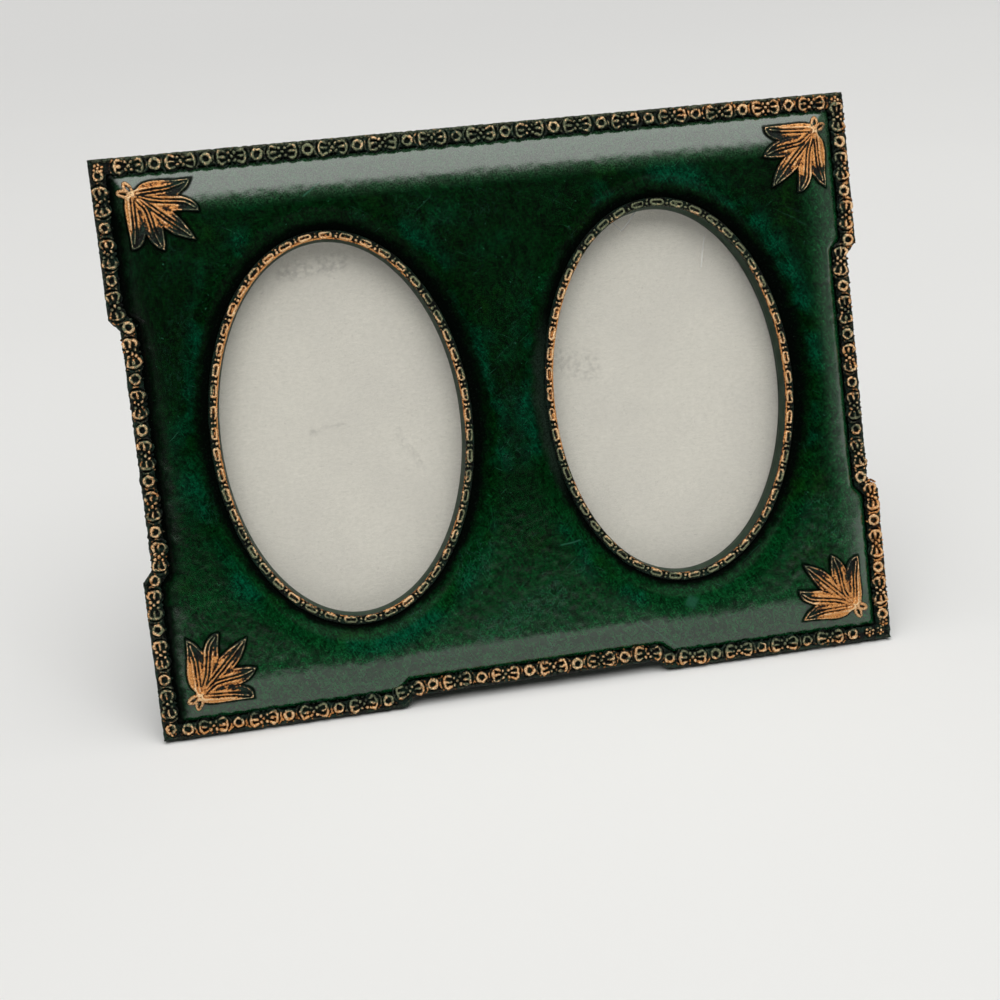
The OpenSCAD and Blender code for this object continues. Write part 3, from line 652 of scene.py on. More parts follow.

# wear through it, and pale crazing lines along the wrinkles that are partly wear and partly painted
# highlights
crazing_and_painted_glints = times(veins(where, 0.5, 0.016, 6.0, 0.9, (1.0, 0.7, 1.0)),
               span(cloud(where, 0.085, 3.0, 0.6), 0.50, 0.68), span(low_face, 105.0, 40.0, 0.25, 0.6))
strokes = most(scored(where, -38, 0.8, 0.66, 0.74), scored(where, 28, 0.7, 0.67, 0.75))
worn = most(crazing_and_painted_glints, times(strokes, 0.35), span(cloud(where, 1.1, 2.0, 0.5), 0.73, 0.78, 0.0, 0.5),
            *(times(near_line(where, line, width), share) for line, width, share in FACE_SCRATCHES),
            times(near_line(where, RUBBED_PATCH, 5.0, 2.0), veins(where, 0.8, 0.05, 5.0, 1.0), 0.35))
glaze = blended(worn, glaze, SCRATCHED_AND_GLINT_GREEN)
# paler speckled green along the top edge: wear, and partly a painted sheen on the top shoulder that faces the
# ceiling light
glaze = blended(times(span(up_face, 119.0, 122.5), span(fine, 0.40, 0.66, 0.1, 0.75)), glaze, EDGE_WORN_AND_PAINTED_SHEEN)

# the black left in the hollows, with a grey sheen painted on it left of the right bezel
black = most(kept_black(ragged, "groove", 0.15, 0.95, 0.25), kept_black(ragged, "soot", 1.2, 4.2, 1.3),
             kept_black(ragged, "leaf", 0.0, 0.9, 0.3))
# a grey sheen painted on the black left of the right bezel, where the valley's slope catches light
painted_sheen = times(between(across_face, 2.0, 6.0, 9.5, 12.5), between(low_face, 58.0, 76.0, 90.0, 112.0),
             span(fine, 0.35, 0.6, 0.2, 0.8))
soot = blended(painted_sheen, blended(span(fine, 0.56, 0.72, 0.0, 0.5), *SOOT_TONES), PAINTED_SHEEN_GREY)
feed(surface, "Base Color", blended(black, glaze, soot))
feed(surface, "Coat Weight", times(
    span(black, 0.15, 0.85, 1.0, 0.05), span(bezel, 3.8, 7.4, 0.03, 1.0),
    span(up_face, 9.0, 16.0, 0.70, 1.0), span(up_face, 116.0, 122.0, 1.0, 0.86)))
relief(surface, step("MULTIPLY_ADD", fine, 0.3, wrinkles), 0.7, 0.0004)
relief(surface, fine, 0.26, 0.0001, "Coat Normal")

points, faces, marks = stacked(casting_skin(), casting_flange(), casting_collar())
casting = piece("cast_front", points, faces, green_enamel, **marks)
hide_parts("front_panel")
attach(casting, "frame_body")


# Trim strips: four lengths of stamped copper edging with a plain outer rim, mitred at the corners
# and soldered to the flange. Each repeat is an open ring, then beads between two three-pronged
# scrolls; the hollows are black and green with patina, the high parts rubbed back to copper.
STRIP_TOP, RING_RADIUS, RING_WIRE = 1.36, 1.02, 0.42
# Section of the plain strip with its rim, as distance in from the frame's edge and height
STRIP_SECTION = ((0.0, 0.0), (0.0, 0.35), (0.04, 0.54), (0.14, 0.70), (0.30, 0.82), (0.50, 0.88),
                 (0.68, 0.84), (0.82, 0.74), (0.94, 0.56), (1.15, 0.42), (2.1, 0.42), (3.1, 0.42),
                 (3.36, 0.36), (3.5, 0.25), (3.5, 0.0))
RIM_STEP = 0.7
# Beads beside a ring: place across and along, radius
RING_BEADS = ((-1.66, -0.85, 0.34), (1.66, -0.85, 0.34), (-1.6, 0.95, 0.32), (1.6, 0.95, 0.32),
              (-1.72, 0.05, 0.24), (1.72, 0.05, 0.24), (0, -1.72, 0.28), (-0.7, 1.62, 0.2), (0.7, 1.62, 0.2))
# Right half of a flower: wires as points, radius, height and sides, then beads as place and radius
FLOWER_WIRES = ((((2.15, 1.66), (2.85, 1.15), (3.1, 0.0), (2.85, -1.15), (2.15, -1.66)), 0.42, 0.92, 6),
                (((2.85, 1.25), (2.1, 1.4), (1.2, 1.0)), 0.40, 0.94, 6),
                (((3.05, 0.0), (2.2, 0.05), (1.28, 0.0)), 0.40, 0.94, 6),
                (((2.85, -1.25), (2.1, -1.45), (1.2, -1.05)), 0.40, 0.94, 6),
                (((3.2, 1.75), (3.92, 1.0), (4.12, 0.0), (3.92, -1.0), (3.2, -1.75)), 0.3, 0.86, 5),
                (((2.7, -1.55), (2.2, -1.88), (1.5, -1.92), (0.85, -1.62)), 0.26, 0.7, 5))
FLOWER_BEADS = ((0.66, 0.86, 0.9, 0.47), (0.68, -0.84, 0.9, 0.47), (0.62, 1.72, 0.8, 0.28),
                (0.98, 0.02, 0.74, 0.26))
# Side: its end corners in the outline, how far in its relief's middle lies, first ring and pitch
# along it, rings, first flower, flowers, places of the corner knots, and how far the copper is
# rubbed bright at the outer and inner edge
STRIPS = {"top": ((11, 10), 2.2, 14.7, 11.5, 14, 8.95, 15, (2.0, 175.9), 0.06, -0.15),
          "bottom": ((0, 5), 2.25, 5.8, 11.71, 15, 11.66, 14, (2.2, 174.2, 177.0), 0.64, -0.1),
          "left": ((11, 16), 1.95, 3.8, 11.7, 12, 9.65, 11, (), 0.5, 0.25),
          "right": ((10, 5), 1.95, 11.8, 11.72, 11, 5.94, 11, (131.0,), 0.6, 0.05)}
# How much more or less the copper is rubbed by the place across the face or up it
STRIP_WEAR = {"top": ((-89, -84, -60, -40, 20, 89), (0.8, 0.28, 0.0, -0.08, 0.08, 0.62)),
              "bottom": ((-89, -62, -46, -34, -28, 28, 36, 60, 76),
                         (0.12, 0.14, -0.2, -0.1, 0.42, 0.42, -0.06, -0.26, -0.02)),
              "left": ((0, 11, 26, 36, 45, 90, 100, 107, 122),
                       (-0.05, -0.11, -0.29, -0.1, 0.1, 0.05, -0.2, -0.22, -0.11)),
              "right": ((11, 26, 36, 45, 66, 90, 100, 107, 122),
                        (0.04, 0.36, 0.3, 0.14, 0.28, 0.28, 0.0, -0.05, -0.16))}
# The top strip's rim is marked higher than the other rims, so it shows more pale dulled metal: a painted
# sheen for the light from above
BASE_WEAR, TOP_RIM_PAINTED_SHEEN, OTHER_RIMS = -0.1, 0.74, 0.60
RING_UNEVENNESS, FLOWER_UNEVENNESS, LINK_UNEVENNESS = 0.05, 0.02, 0.05
# Roughness of the relief, its plain strip and the links: how far points move, and its grain
RELIEF_ROUGH, BASE_ROUGH, LINK_ROUGH = (0.26, 0.8), (0.34, 0.9), (0.22, 0.8)
# Colours of the metal: patina in the hollows, dulled high parts, copper from dark to bright, and a pale
# burnished tone on the very crests that is partly a painted highlight
PATINAS, DULLED = ((0.0022, 0.0034, 0.0024), (0.0080, 0.0280, 0.0170)), (0.24, 0.265, 0.155)
COPPERS, BURNISHED_AND_PAINTED_HIGHLIGHT = ((0.30, 0.085, 0.020), (0.74, 0.345, 0.113)), (0.96, 0.67, 0.38)
OUTWARD = Vector((0.0, -math.cos(LEAN), math.sin(LEAN)))
# Vector noise is seeded from the clock unless it is told otherwise
ROUGHNESS_SEED = 7
noise.seed_set(ROUGHNESS_SEED)


def tube(path, radii, sides=6, closed=False, squash=1.0):
    """A rounded wire along a flat path, with blunt ends unless it is closed."""
    path = np.asarray(path, float)
    radii = np.broadcast_to(radii, len(path)).astype(float)
    flat = path[:, :2]
    ahead = np.roll(flat, -1, 0) - np.roll(flat, 1, 0) if closed else np.gradient(flat, axis=0)
    ahead /= np.linalg.norm(ahead, axis=1)[:, None] + 1e-12
    across = np.stack([-ahead[:, 1], ahead[:, 0], np.zeros(len(path))], 1)
    turn = np.linspace(0, 2 * math.pi, sides, endpoint=False) + math.pi / sides
    rings = [p + r * (np.outer(np.cos(turn), a) + np.outer(np.sin(turn), (0, 0, squash)))
             for p, r, a in zip(path, radii, across)]
    faces = []
    for i in range(len(path) if closed else len(path) - 1):
        for k in range(sides):
            n, j = (k + 1) % sides, (i + 1) % len(path)
            faces.append((i * sides + k, j * sides + k, j * sides + n, i * sides + n))
    if not closed:
        faces.append(tuple(range(sides)))
        last = (len(path) - 1) * sides
        faces.append(tuple(last + k for k in reversed(range(sides))))
    return np.concatenate(rings), faces, {}


def bead(at, radius, squash=0.9):
    """A small round boss."""
    points, faces = [(0, 0, 1.0)], []
    for k, rise in enumerate((0.72, 0.1, -0.6)):
        reach = math.sqrt(1 - rise * rise)
        points += [(reach * math.cos(t), reach * math.sin(t), rise)
                   for t in np.linspace(0, 2 * math.pi, 7, endpoint=False)]
    points.append((0, 0, -1.0))
    for k in range(7):
        n = (k + 1) % 7
        faces.append((0, 1 + k, 1 + n))
        for row in (0, 7):
            faces.append((1 + row + k, 8 + row + k, 8 + row + n, 1 + row + n))
        faces.append((15 + k, 22, 15 + n))
    return np.array(points) * (radius, radius, radius * squash) + at, faces, {}


def disc(at, radius, low, top, sides=14):
    """A low round step with a softened edge."""
    t = np.linspace(0, 2 * math.pi, sides, endpoint=False)
    circle = np.column_stack([np.cos(t), np.sin(t)])
    steps = ((radius, low), (radius, top - 0.22), (radius - 0.18, top - 0.02), (radius * 0.55, top))
    return *plated([at_height(circle * r + at, w) for r, w in steps]), {}


def wire(corners, radius, height, steps=3, sides=6):
    """A wire through a few flat points at one height, thinner at its ends."""
    path = curved(corners, steps)
    swell = 0.72 + 0.28 * np.sin(np.linspace(0, math.pi, len(path)))
    return tube(at_height(path, height), radius * swell, sides)


def ring_motif():
    """An open ring on a low round step, with small bosses at its sides."""
    t = np.linspace(0, 2 * math.pi, 18, endpoint=False)
    path = at_height(RING_RADIUS * np.column_stack([np.cos(t), np.sin(t)]), STRIP_TOP - RING_WIRE)
    return stacked(disc((0, 0), 1.5, 0.1, 0.6), tube(path, RING_WIRE, 7, closed=True),
                   *(bead((x, y, 0.78), radius) for x, y, radius in RING_BEADS))


def flower_motif():
    """Two three-pronged scrolls that reach for a cluster of beads between them, over low petals."""
    shells = []
    for side in (-1, 1):
        shells.append(disc((side * 1.8, -0.08), 1.74, 0.1, 0.58))
        for corners, radius, height, sides in FLOWER_WIRES:
            shells.append(wire([(side * x, y) for x, y in corners], radius, height, sides=sides))
        shells += [bead((side * x, y, height), radius) for x, y, height, radius in FLOWER_BEADS]
    return stacked(*shells, bead((0, 0, 0.92), 0.48), bead((0, -1.7, 0.78), 0.3))


def rosette_motif():
    """The small knot on a corner."""
    turns = [math.radians(60 * k + 20) for k in range(6)]
    return stacked(disc((0, 0), 1.4, 0.1, 0.7), bead((0, 0, 1.0), 0.38),
                   *(bead((0.88 * math.cos(t), 0.88 * math.sin(t), 0.94), 0.38) for t in turns))


def pattern_object(name, shell):
    """An unplaced copy of a motif for the repeats, in metres round its own middle."""
    mesh = bpy.data.meshes.new(name)
    mesh.from_pydata((shell[0] / 1000).tolist(), [], shell[1])
    return placed(name, mesh)


def repeat_tree():
    """Geometry nodes that set copies of a motif along a path, standing out of the face."""
    tree = bpy.data.node_groups.new("motif_along_path", "GeometryNodeTree")
    for name, kind in (("Path", "Geometry"), ("Motif", "Object"), ("Copies", "Int"),
                       ("Out of face", "Vector"), ("Unevenness", "Float"), ("Seed", "Int"),
                       ("Finish", "Material")):
        tree.interface.new_socket(name, in_out="INPUT", socket_type="NodeSocket" + kind)
    tree.interface.new_socket("Relief", in_out="OUTPUT", socket_type="NodeSocketGeometry")
    asked = node(tree, "NodeGroupInput").outputs
    run = node(tree, "GeometryNodeMeshToCurve", {"Mesh": asked["Path"]}).outputs["Curve"]
    run = node(tree, "GeometryNodeResampleCurve", {"Curve": run, "Count": asked["Copies"]},
               mode="COUNT").outputs["Curve"]
    flat = node(tree, "FunctionNodeAlignRotationToVector", {"Vector": asked["Out of face"]}, axis="Z")
    along = node(tree, "GeometryNodeInputTangent").outputs["Tangent"]
    turned = node(tree, "FunctionNodeAlignRotationToVector", {
        "Rotation": flat.outputs["Rotation"], "Vector": along}, axis="X", pivot_axis="Z")
    size = node(tree, "FunctionNodeRandomValue", {
        2: step("SUBTRACT", 1.0, asked["Unevenness"]), 3: step("ADD", 1.0, asked["Unevenness"]),
        "Seed": asked["Seed"]}, data_type="FLOAT").outputs[1]
    motif = node(tree, "GeometryNodeObjectInfo", {"Object": asked["Motif"]}).outputs["Geometry"]
    copies = node(tree, "GeometryNodeInstanceOnPoints", {
        "Points": run, "Instance": motif, "Rotation": turned.outputs["Rotation"], "Scale": size}).outputs[0]
    solid = node(tree, "GeometryNodeRealizeInstances", {"Geometry": copies}).outputs["Geometry"]
    done = node(tree, "GeometryNodeSetMaterial", {"Geometry": solid, "Material": asked["Finish"]}).outputs[0]
    node(tree, "NodeGroupOutput", {"Relief": done})
    return tree


motif_along_path = repeat_tree()


def evaluated(thing):
    """The mesh that an object's modifiers make."""
    bpy.context.view_layer.update()
    return bpy.data.meshes.new_from_object(thing.evaluated_get(bpy.context.evaluated_depsgraph_get()))


def repeated(path, motif, copies, material, unevenness=0.03, seed=1, closed=False):
    """Copies of a motif along a path on the face, as one shell in the scene's metres."""
    mesh = bpy.data.meshes.new("path")
    last = len(path)
    mesh.from_pydata(stood(path).tolist(),
                     [(i, (i + 1) % last) for i in range(last if closed else last - 1)], [])
    carrier = placed("path", mesh)
    modifier = carrier.modifiers.new("repeats", "NODES")
    modifier.node_group = motif_along_path
    values = {"Motif": motif, "Copies": copies, "Out of face": OUTWARD, "Unevenness": unevenness,
              "Seed": seed, "Finish": material}
    for item in motif_along_path.interface.items_tree:
        if item.in_out == "INPUT" and item.name in values:
            modifier[item.identifier] = values[item.name]
    grown = evaluated(carrier)
    carrier.modifiers.remove(modifier)
    bpy.data.objects.remove(carrier)
    points = np.empty(len(grown.vertices) * 3)
    grown.vertices.foreach_get("co", points)
    faces = [tuple(p.vertices) for p in grown.polygons]
    bpy.data.meshes.remove(grown)
    return points.reshape(-1, 3), faces, {}


def face_place(places):
    """Face coordinates in millimetres of places in the scene."""
    x, y, z = np.moveaxis(np.asarray(places) * 1000 - (0, STAND_Y, STAND_Z), -1, 0)
    return x, y * math.sin(LEAN) + z * math.cos(LEAN), z * math.sin(LEAN) - y * math.cos(LEAN)


def roughened(points, amount, grain, seed):
    """Moves points a little out of and along the face, as in a worn stamping, inside the frame."""
    moved = np.array(points)
    for i, p in enumerate(points * 1000 / grain):
        moved[i] += np.array(noise.noise_vector((p[0], p[1] + seed, p[2]))) * amount / 1000
    u, v, w = face_place(moved)
    return stood(np.stack([np.clip(u, -FRAME_W / 2, FRAME_W / 2), np.clip(v, 0, FRAME_H), w], -1))


def strip_corners(side):
    """Which corners of the outline a strip runs through."""
    first, last = STRIPS[side][0]
    return [i % 16 for i in (range(first, last + 1) if last > first else range(first, last - 1, -1))]


def strip_line(side):
    """The strip's middle line from its first corner, and the distance along it at each point."""
    middle = STRIPS[side][1]
    line = outline(middle)[strip_corners(side)]
    reach = np.concatenate([[0], np.cumsum(np.linalg.norm(np.diff(line, axis=0), axis=1))])
    return line, reach + middle


def strip_run(side, start, pitch, copies):
    """The part of the middle line that holds the repeats, run clockwise so that their feet point in."""
    line, reach = strip_line(side)
    s = start + pitch * np.linspace(0, copies - 1, (copies - 1) * 8 + 1)
    flat = np.column_stack([np.interp(s, reach, line[:, 0]), np.interp(s, reach, line[:, 1])])
    return at_height(flat if side in ("top", "right") else flat[::-1], 0.0)


def strip_base(side):
    """The plain strip under the relief with its outer rim, cut at the mitres."""
    places = strip_corners(side)
    edge = outline(0)[places]
    steps = [math.ceil(math.dist(a, b) / RIM_STEP) for a, b in zip(edge, edge[1:])]
    rows = []
    for d, w in STRIP_SECTION:
        corners = outline(d)[places]
        pieces = [np.linspace(a, b, n + 1)[:-1] for a, b, n in zip(corners, corners[1:], steps)]
        rows.append(at_height(np.concatenate(pieces + [corners[-1:]]), w))
    count, size = len(rows), len(rows[0])
    ends = [tuple(i * size for i in range(count)), tuple(i * size + size - 1 for i in reversed(range(count)))]
    return stood(np.concatenate(rows)), quads(count, size, ends_meet=True, closed=False) + ends, {}


def swayed(value, *sways):
    """A value moved by how far some others are from their middle."""
    for other, amount in sways:
        value = step("MULTIPLY_ADD", step("SUBTRACT", other, 0.5), amount, value)
    return value


aged_copper, tree, surface = finish_of("copper_relief", Roughness=0.3, Specular_IOR_Level=0.2)
where = face_millimetres(tree)
speck, spots = cloud(where, 2.0, 4.0, 0.72), cloud(where, 0.55, 3.0, 0.6)
patch = cloud(where, 0.15, 3.0, 0.6)
lift = swayed(mark_of(tree, "height"), (speck, 1.0))
rubbing = swayed(lift, (mark_of(tree, "rubbed"), 1.1), (patch, 1.3), (spots, 1.7), (speck, 1.3))
bare, dulled = span(rubbing, 0.48, 0.80), span(lift, 0.58, 1.12)
dark = blended(dulled, blended(span(spots, 0.40, 0.66), *PATINAS), DULLED)
# the palest tone only on the very crests: burnished copper, and partly a painted highlight
burnished_and_painted_highlight = span(step("MULTIPLY_ADD", patch, 0.5, lift), 0.95, 1.45)
warm = blended(burnished_and_painted_highlight, blended(span(rubbing, 0.55, 1.00), *COPPERS), BURNISHED_AND_PAINTED_HIGHLIGHT)
feed(surface, "Base Color", blended(bare, dark, warm))
feed(surface, "Metallic", span(most(bare, times(dulled, 0.8)), 0.0, 1.0, 0.1, 0.88))
feed(surface, "Roughness", span(speck, 0.3, 0.75, 0.22, 0.42))
relief(surface, step("MULTIPLY_ADD", spots, 0.6, speck), 1.0, 0.00035)

ring_pattern = pattern_object("ring_pattern", ring_motif())
flower_pattern = pattern_object("flower_pattern", flower_motif())
for number, (side, layout) in enumerate(STRIPS.items()):
    _, _, ring_at, pitch, rings, flower_at, flowers, knots, outer_share, inner_share = layout
    line, reach = strip_line(side)
    shells = [repeated(strip_run(side, ring_at, pitch, rings), ring_pattern, rings, aged_copper,
                       RING_UNEVENNESS, number),
              repeated(strip_run(side, flower_at, pitch, flowers), flower_pattern, flowers, aged_copper,
                       FLOWER_UNEVENNESS, number + 10)]
    for knot in knots:
        at = (np.interp(knot, reach, line[:, 0]), np.interp(knot, reach, line[:, 1]), 0)
        knot_points, knot_faces, _ = rosette_motif()
        shells.append((stood(knot_points + at), knot_faces, {}))
    points, faces, _ = stacked(*shells)
    base, base_faces, _ = strip_base(side)
    points, faces, _ = stacked((roughened(base, *BASE_ROUGH, number + 20), base_faces, {}),
                               (roughened(points, *RELIEF_ROUGH, number), faces, {}))
    u, v, w = face_place(points)
    inward = {"top": FRAME_H - v, "bottom": v, "left": u + FRAME_W / 2, "right": FRAME_W / 2 - u}[side]
    share = np.interp(inward, (1.2, 3.4), (outer_share, inner_share)) \
        + np.interp(u if side in ("top", "bottom") else v, *STRIP_WEAR[side])
    share[:len(base)] = BASE_WEAR
    raised = np.clip((w - 0.7) / 0.6, 0, 1.1)
    # the top rim gets more pale dulled metal than the others, a painted sheen
    raised[:len(base)] = np.where(w[:len(base)] > 0.5, TOP_RIM_PAINTED_SHEEN if side == "top" else OTHER_RIMS, 0.0)
    trim = piece("trim_" + side, points, faces, aged_copper, stand=False, height=raised, rubbed=share)
    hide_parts("border_trim_" + side)
    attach(trim, "frame_body")
for pattern in (ring_pattern, flower_pattern):
    bpy.data.objects.remove(pattern)


# Bezels: stamped copper surrounds, each a painted sleeve through the casting under a ring of long
# hollow links with small beads between them, a bright lip inside and a thin rolled line outside.
# Pressed into the ovals from the front, patinated and rubbed like the trim.
LINKS, LINK_LENGTH, LINK_WIDTH, LINK_WIRE = 49, 3.7, 1.72, 0.33
LINK_ROW, LINK_HEIGHT = 1.26, 1.16
# Section, as distance out from the clear oval and height above the flange
BEZEL_SECTION = ((0.0, -3.56), (0.05, -2.0), (0.14, -0.5), (0.26, 0.7), (0.3, 1.06), (0.38, 1.26),
                 (0.5, 1.32), (0.64, 1.18), (0.78, 0.95), (1.1, 0.88), (1.6, 0.88), (1.88, 0.92),
                 (2.04, 1.14), (2.15, 1.2), (2.26, 1.1), (2.35, 0.9), (2.43, 0.7), (2.47, 0.54),
                 (2.47, 0.5), (0.9, 0.5), (0.9, -3.56))
PAINT_TOP = 0.75
# How far the copper is rubbed bright, by the way round the oval from its right side
WEAR_TURNS = np.arange(15, 375, 30)
BEZEL_WEAR = {"left": (0.56, 0.1, 0.6, 0.78, 0.63, 0.53, 0.53, 0.11, 0.3, 0.26, 0.18, 0.14),
              "right": (0.63, 0.26, -0.12, -0.1, 0.6, 0.9, 0.47, 0.14, 0.1, 0.27, 0.3, 0.72)}


def link_motif():
    """One long hollow link and the beads after it."""
    t = np.linspace(0, 2 * math.pi, 16, endpoint=False)
    straight = LINK_LENGTH / 2 - LINK_WIDTH / 2 - LINK_WIRE / 2
    path = np.column_stack([np.sign(np.cos(t)) * straight + np.cos(t) * (LINK_WIDTH / 2 - LINK_WIRE),
                            np.sin(t) * (LINK_WIDTH / 2 - LINK_WIRE), np.zeros(16)])
    return stacked(tube(path, LINK_WIRE, 6, closed=True),
                   wire([(-straight, 0), (0, 0.03), (straight, 0)], 0.34, -0.2),
                   bead((2.36, 0.34, 0.02), 0.4), bead((2.36, -0.42, -0.04), 0.32))


sleeve_paint, tree, surface = finish_of("sleeve_paint", Roughness=0.5, Specular_IOR_Level=0.1)
where = face_millimetres(tree)
haze = span(cloud(where, 0.3, 4.0, 0.6), 0.3, 0.7)
feed(surface, "Base Color", blended(haze, (0.014, 0.032, 0.018), (0.027, 0.050, 0.031)))
relief(surface, cloud(where, 1.5, 3.0), 0.3, 0.0001)

link_pattern = pattern_object("link_pattern", link_motif())
for side, name in ((-1, "left"), (1, "right")):
    points, faces = lofted([at_height(oval(m, 224, side), w) for m, w in BEZEL_SECTION])
    row, row_faces, _ = repeated(at_height(oval(LINK_ROW, 294, side), LINK_HEIGHT), link_pattern, LINKS,
                                 aged_copper, LINK_UNEVENNESS, 30 + side, closed=True)
    points, faces, _ = stacked((stood(points), faces, {}),
                               (roughened(row, *LINK_ROUGH, 20 + side), row_faces, {}))
    u, v, w = face_place(points)
    turn = np.degrees(np.arctan2(v - WINDOW_V, u - side * WINDOW_U)) % 360
    share = np.interp(turn, WEAR_TURNS, BEZEL_WEAR[name], period=360) \
        + np.interp(round_bezel(u, v) + BEZEL_W, (0.2, 0.9, 1.9), (0.3, 0.0, -0.5))
    bezel = piece("bezel_" + name, points, faces, aged_copper, stand=False,
                  height=np.clip((w - 0.98) / 0.44, 0, 1.1), rubbed=share)
    bezel.data.materials.append(sleeve_paint)
    for face in bezel.data.polygons:
        if max(face_place([bezel.data.vertices[i].co for i in face.vertices])[2]) < PAINT_TOP:
            face.material_index = 1
    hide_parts("oval_bezel_" + name)
    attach(bezel, "frame_body")
bpy.data.objects.remove(link_pattern)


# Corner leaves: one stamping turned to each corner, five webbed leaflets with hollow tips on a
# short stalk with two open bracts, bent to the pad and soldered to it, rubbed to bright copper on
# every ridge but the tips.
LEAF_STEP, LEAF_SEAT, LEAF_MOST = 0.2, 0.03, 0.7
LEAF_RIBS = (((0.6, -0.8), (2.6, -3.1), (5.0, -5.8), (6.7, -8.4)),
             ((1.4, -0.2), (4.2, -0.6), (6.3, -1.9), (9.2, -4.0), (11.8, -5.3)),
             ((2.0, 0.3), (6.0, 0.3), (10.0, 0.35), (15.5, 0.5)),
             ((1.5, 0.7), (4.4, 1.9), (7.2, 3.8), (10.0, 5.7), (12.6, 6.2)),
             ((0.6, 0.9), (2.9, 3.4), (5.5, 6.2), (7.4, 9.3)))
LEAF_SEAMS = (((7.6, -5.3), (5.2, -3.5), (2.2, -1.4)), ((9.7, -1.7), (7.0, -0.9), (4.4, -0.2)),
              ((9.4, 2.5), (7.0, 1.7), (4.0, 0.9)), ((8.2, 6.2), (6.0, 4.4), (3.0, 2.0)))
BRACT_LENGTH, BRACT_WIDTH, BRACT_WIRE = 3.7, 2.1, 0.4
LEAF_RUBBED = {"top_left": 0.85, "top_right": 0.97, "bottom_left": 0.97, "bottom_right": 1.08}
BRACT_ANGLES, BRACT_HEIGHT = (-153, 160), 0.34
LEAF_LONG, LEAF_WIDE = (-1.4, 17.4), (-10.6, 11.8)


def turned_by(points, angle):
    """Points turned about the leaf's root, by degrees."""
    across, along = math.sin(math.radians(angle)), math.cos(math.radians(angle))
    x, y, z = points.T
    return np.column_stack([x * along - y * across, x * across + y * along, z])


def inside_leaf(x, y):
    """Whether points lie inside the leaf's outline."""
    hit = np.zeros(np.shape(x), bool)
    for (ax, ay), (bx, by) in zip(LEAF_EDGE, np.roll(LEAF_EDGE, -1, 0)):
        crosses = (ay > y) != (by > y)
        hit ^= crosses & (x < ax + (y - ay) * (bx - ax) / np.where(by == ay, 1, by - ay))
    return hit


def leaf_height(x, y, seed):
    """Height of the stamped leaf above its seat, and how much of it the tips' patina covers."""
    edge = away_from(LEAF_EDGE, x, y, closed=True)[0]
    rim = np.exp(-((edge - 0.3) / 0.2) ** 2)
    body = 0.34 + 0.10 * np.exp(-((edge - 0.9) / 0.5) ** 2)
    best, along = np.full(np.shape(x), 9.0), np.zeros(np.shape(x))
    for rib in LEAF_RIBS:
        aside, share = away_from(curved(rib, 6), x, y)
        nearer = aside < best
        best, along = np.where(nearer, aside, best), np.where(nearer, share, along)
    swell = np.sin(np.pi * np.clip(along, 0.02, 0.98)) ** 0.4
    ribs = 0.24 * np.exp(-(best / 0.17) ** 2) - 0.27 * np.exp(-((best - 0.42) / 0.17) ** 2) * swell \
        + 0.10 * np.exp(-((best - 0.85) / 0.3) ** 2)
    seams = np.zeros(np.shape(x))
    for seam in LEAF_SEAMS:
        aside, share = away_from(curved(seam, 5), x, y)
        seams = np.maximum(seams, 0.2 * (1 - 0.8 * share) * np.exp(-(aside / 0.16) ** 2))
    tip = np.clip((along - 0.62) / 0.3, 0, 1) * np.clip((best - 0.1) / 0.5, 0, 1)
    rough = np.array([noise.noise((a / 0.5, b / 0.5, seed)) + 0.6 * noise.noise((a / 1.3, b / 1.3, seed + 4))
                      for a, b in zip(x, y)])
    swelling = 0.14 * np.clip(1 - np.abs(best - 0.85) / 0.45, 0, 1) * (1 - tip)
    h = body + 0.24 * rim + ribs + swelling - seams - 0.2 * tip * (1 - rim) + 0.085 * rough
    h = h + 0.10 * np.exp(-(np.hypot(x, y) / 1.6) ** 2)
    h = np.clip(h, 0.05, LEAF_MOST) * (0.35 + 0.65 * np.clip(edge / 0.12, 0, 1))
    return h, np.clip((along - 0.5) / 0.4, 0, 1)


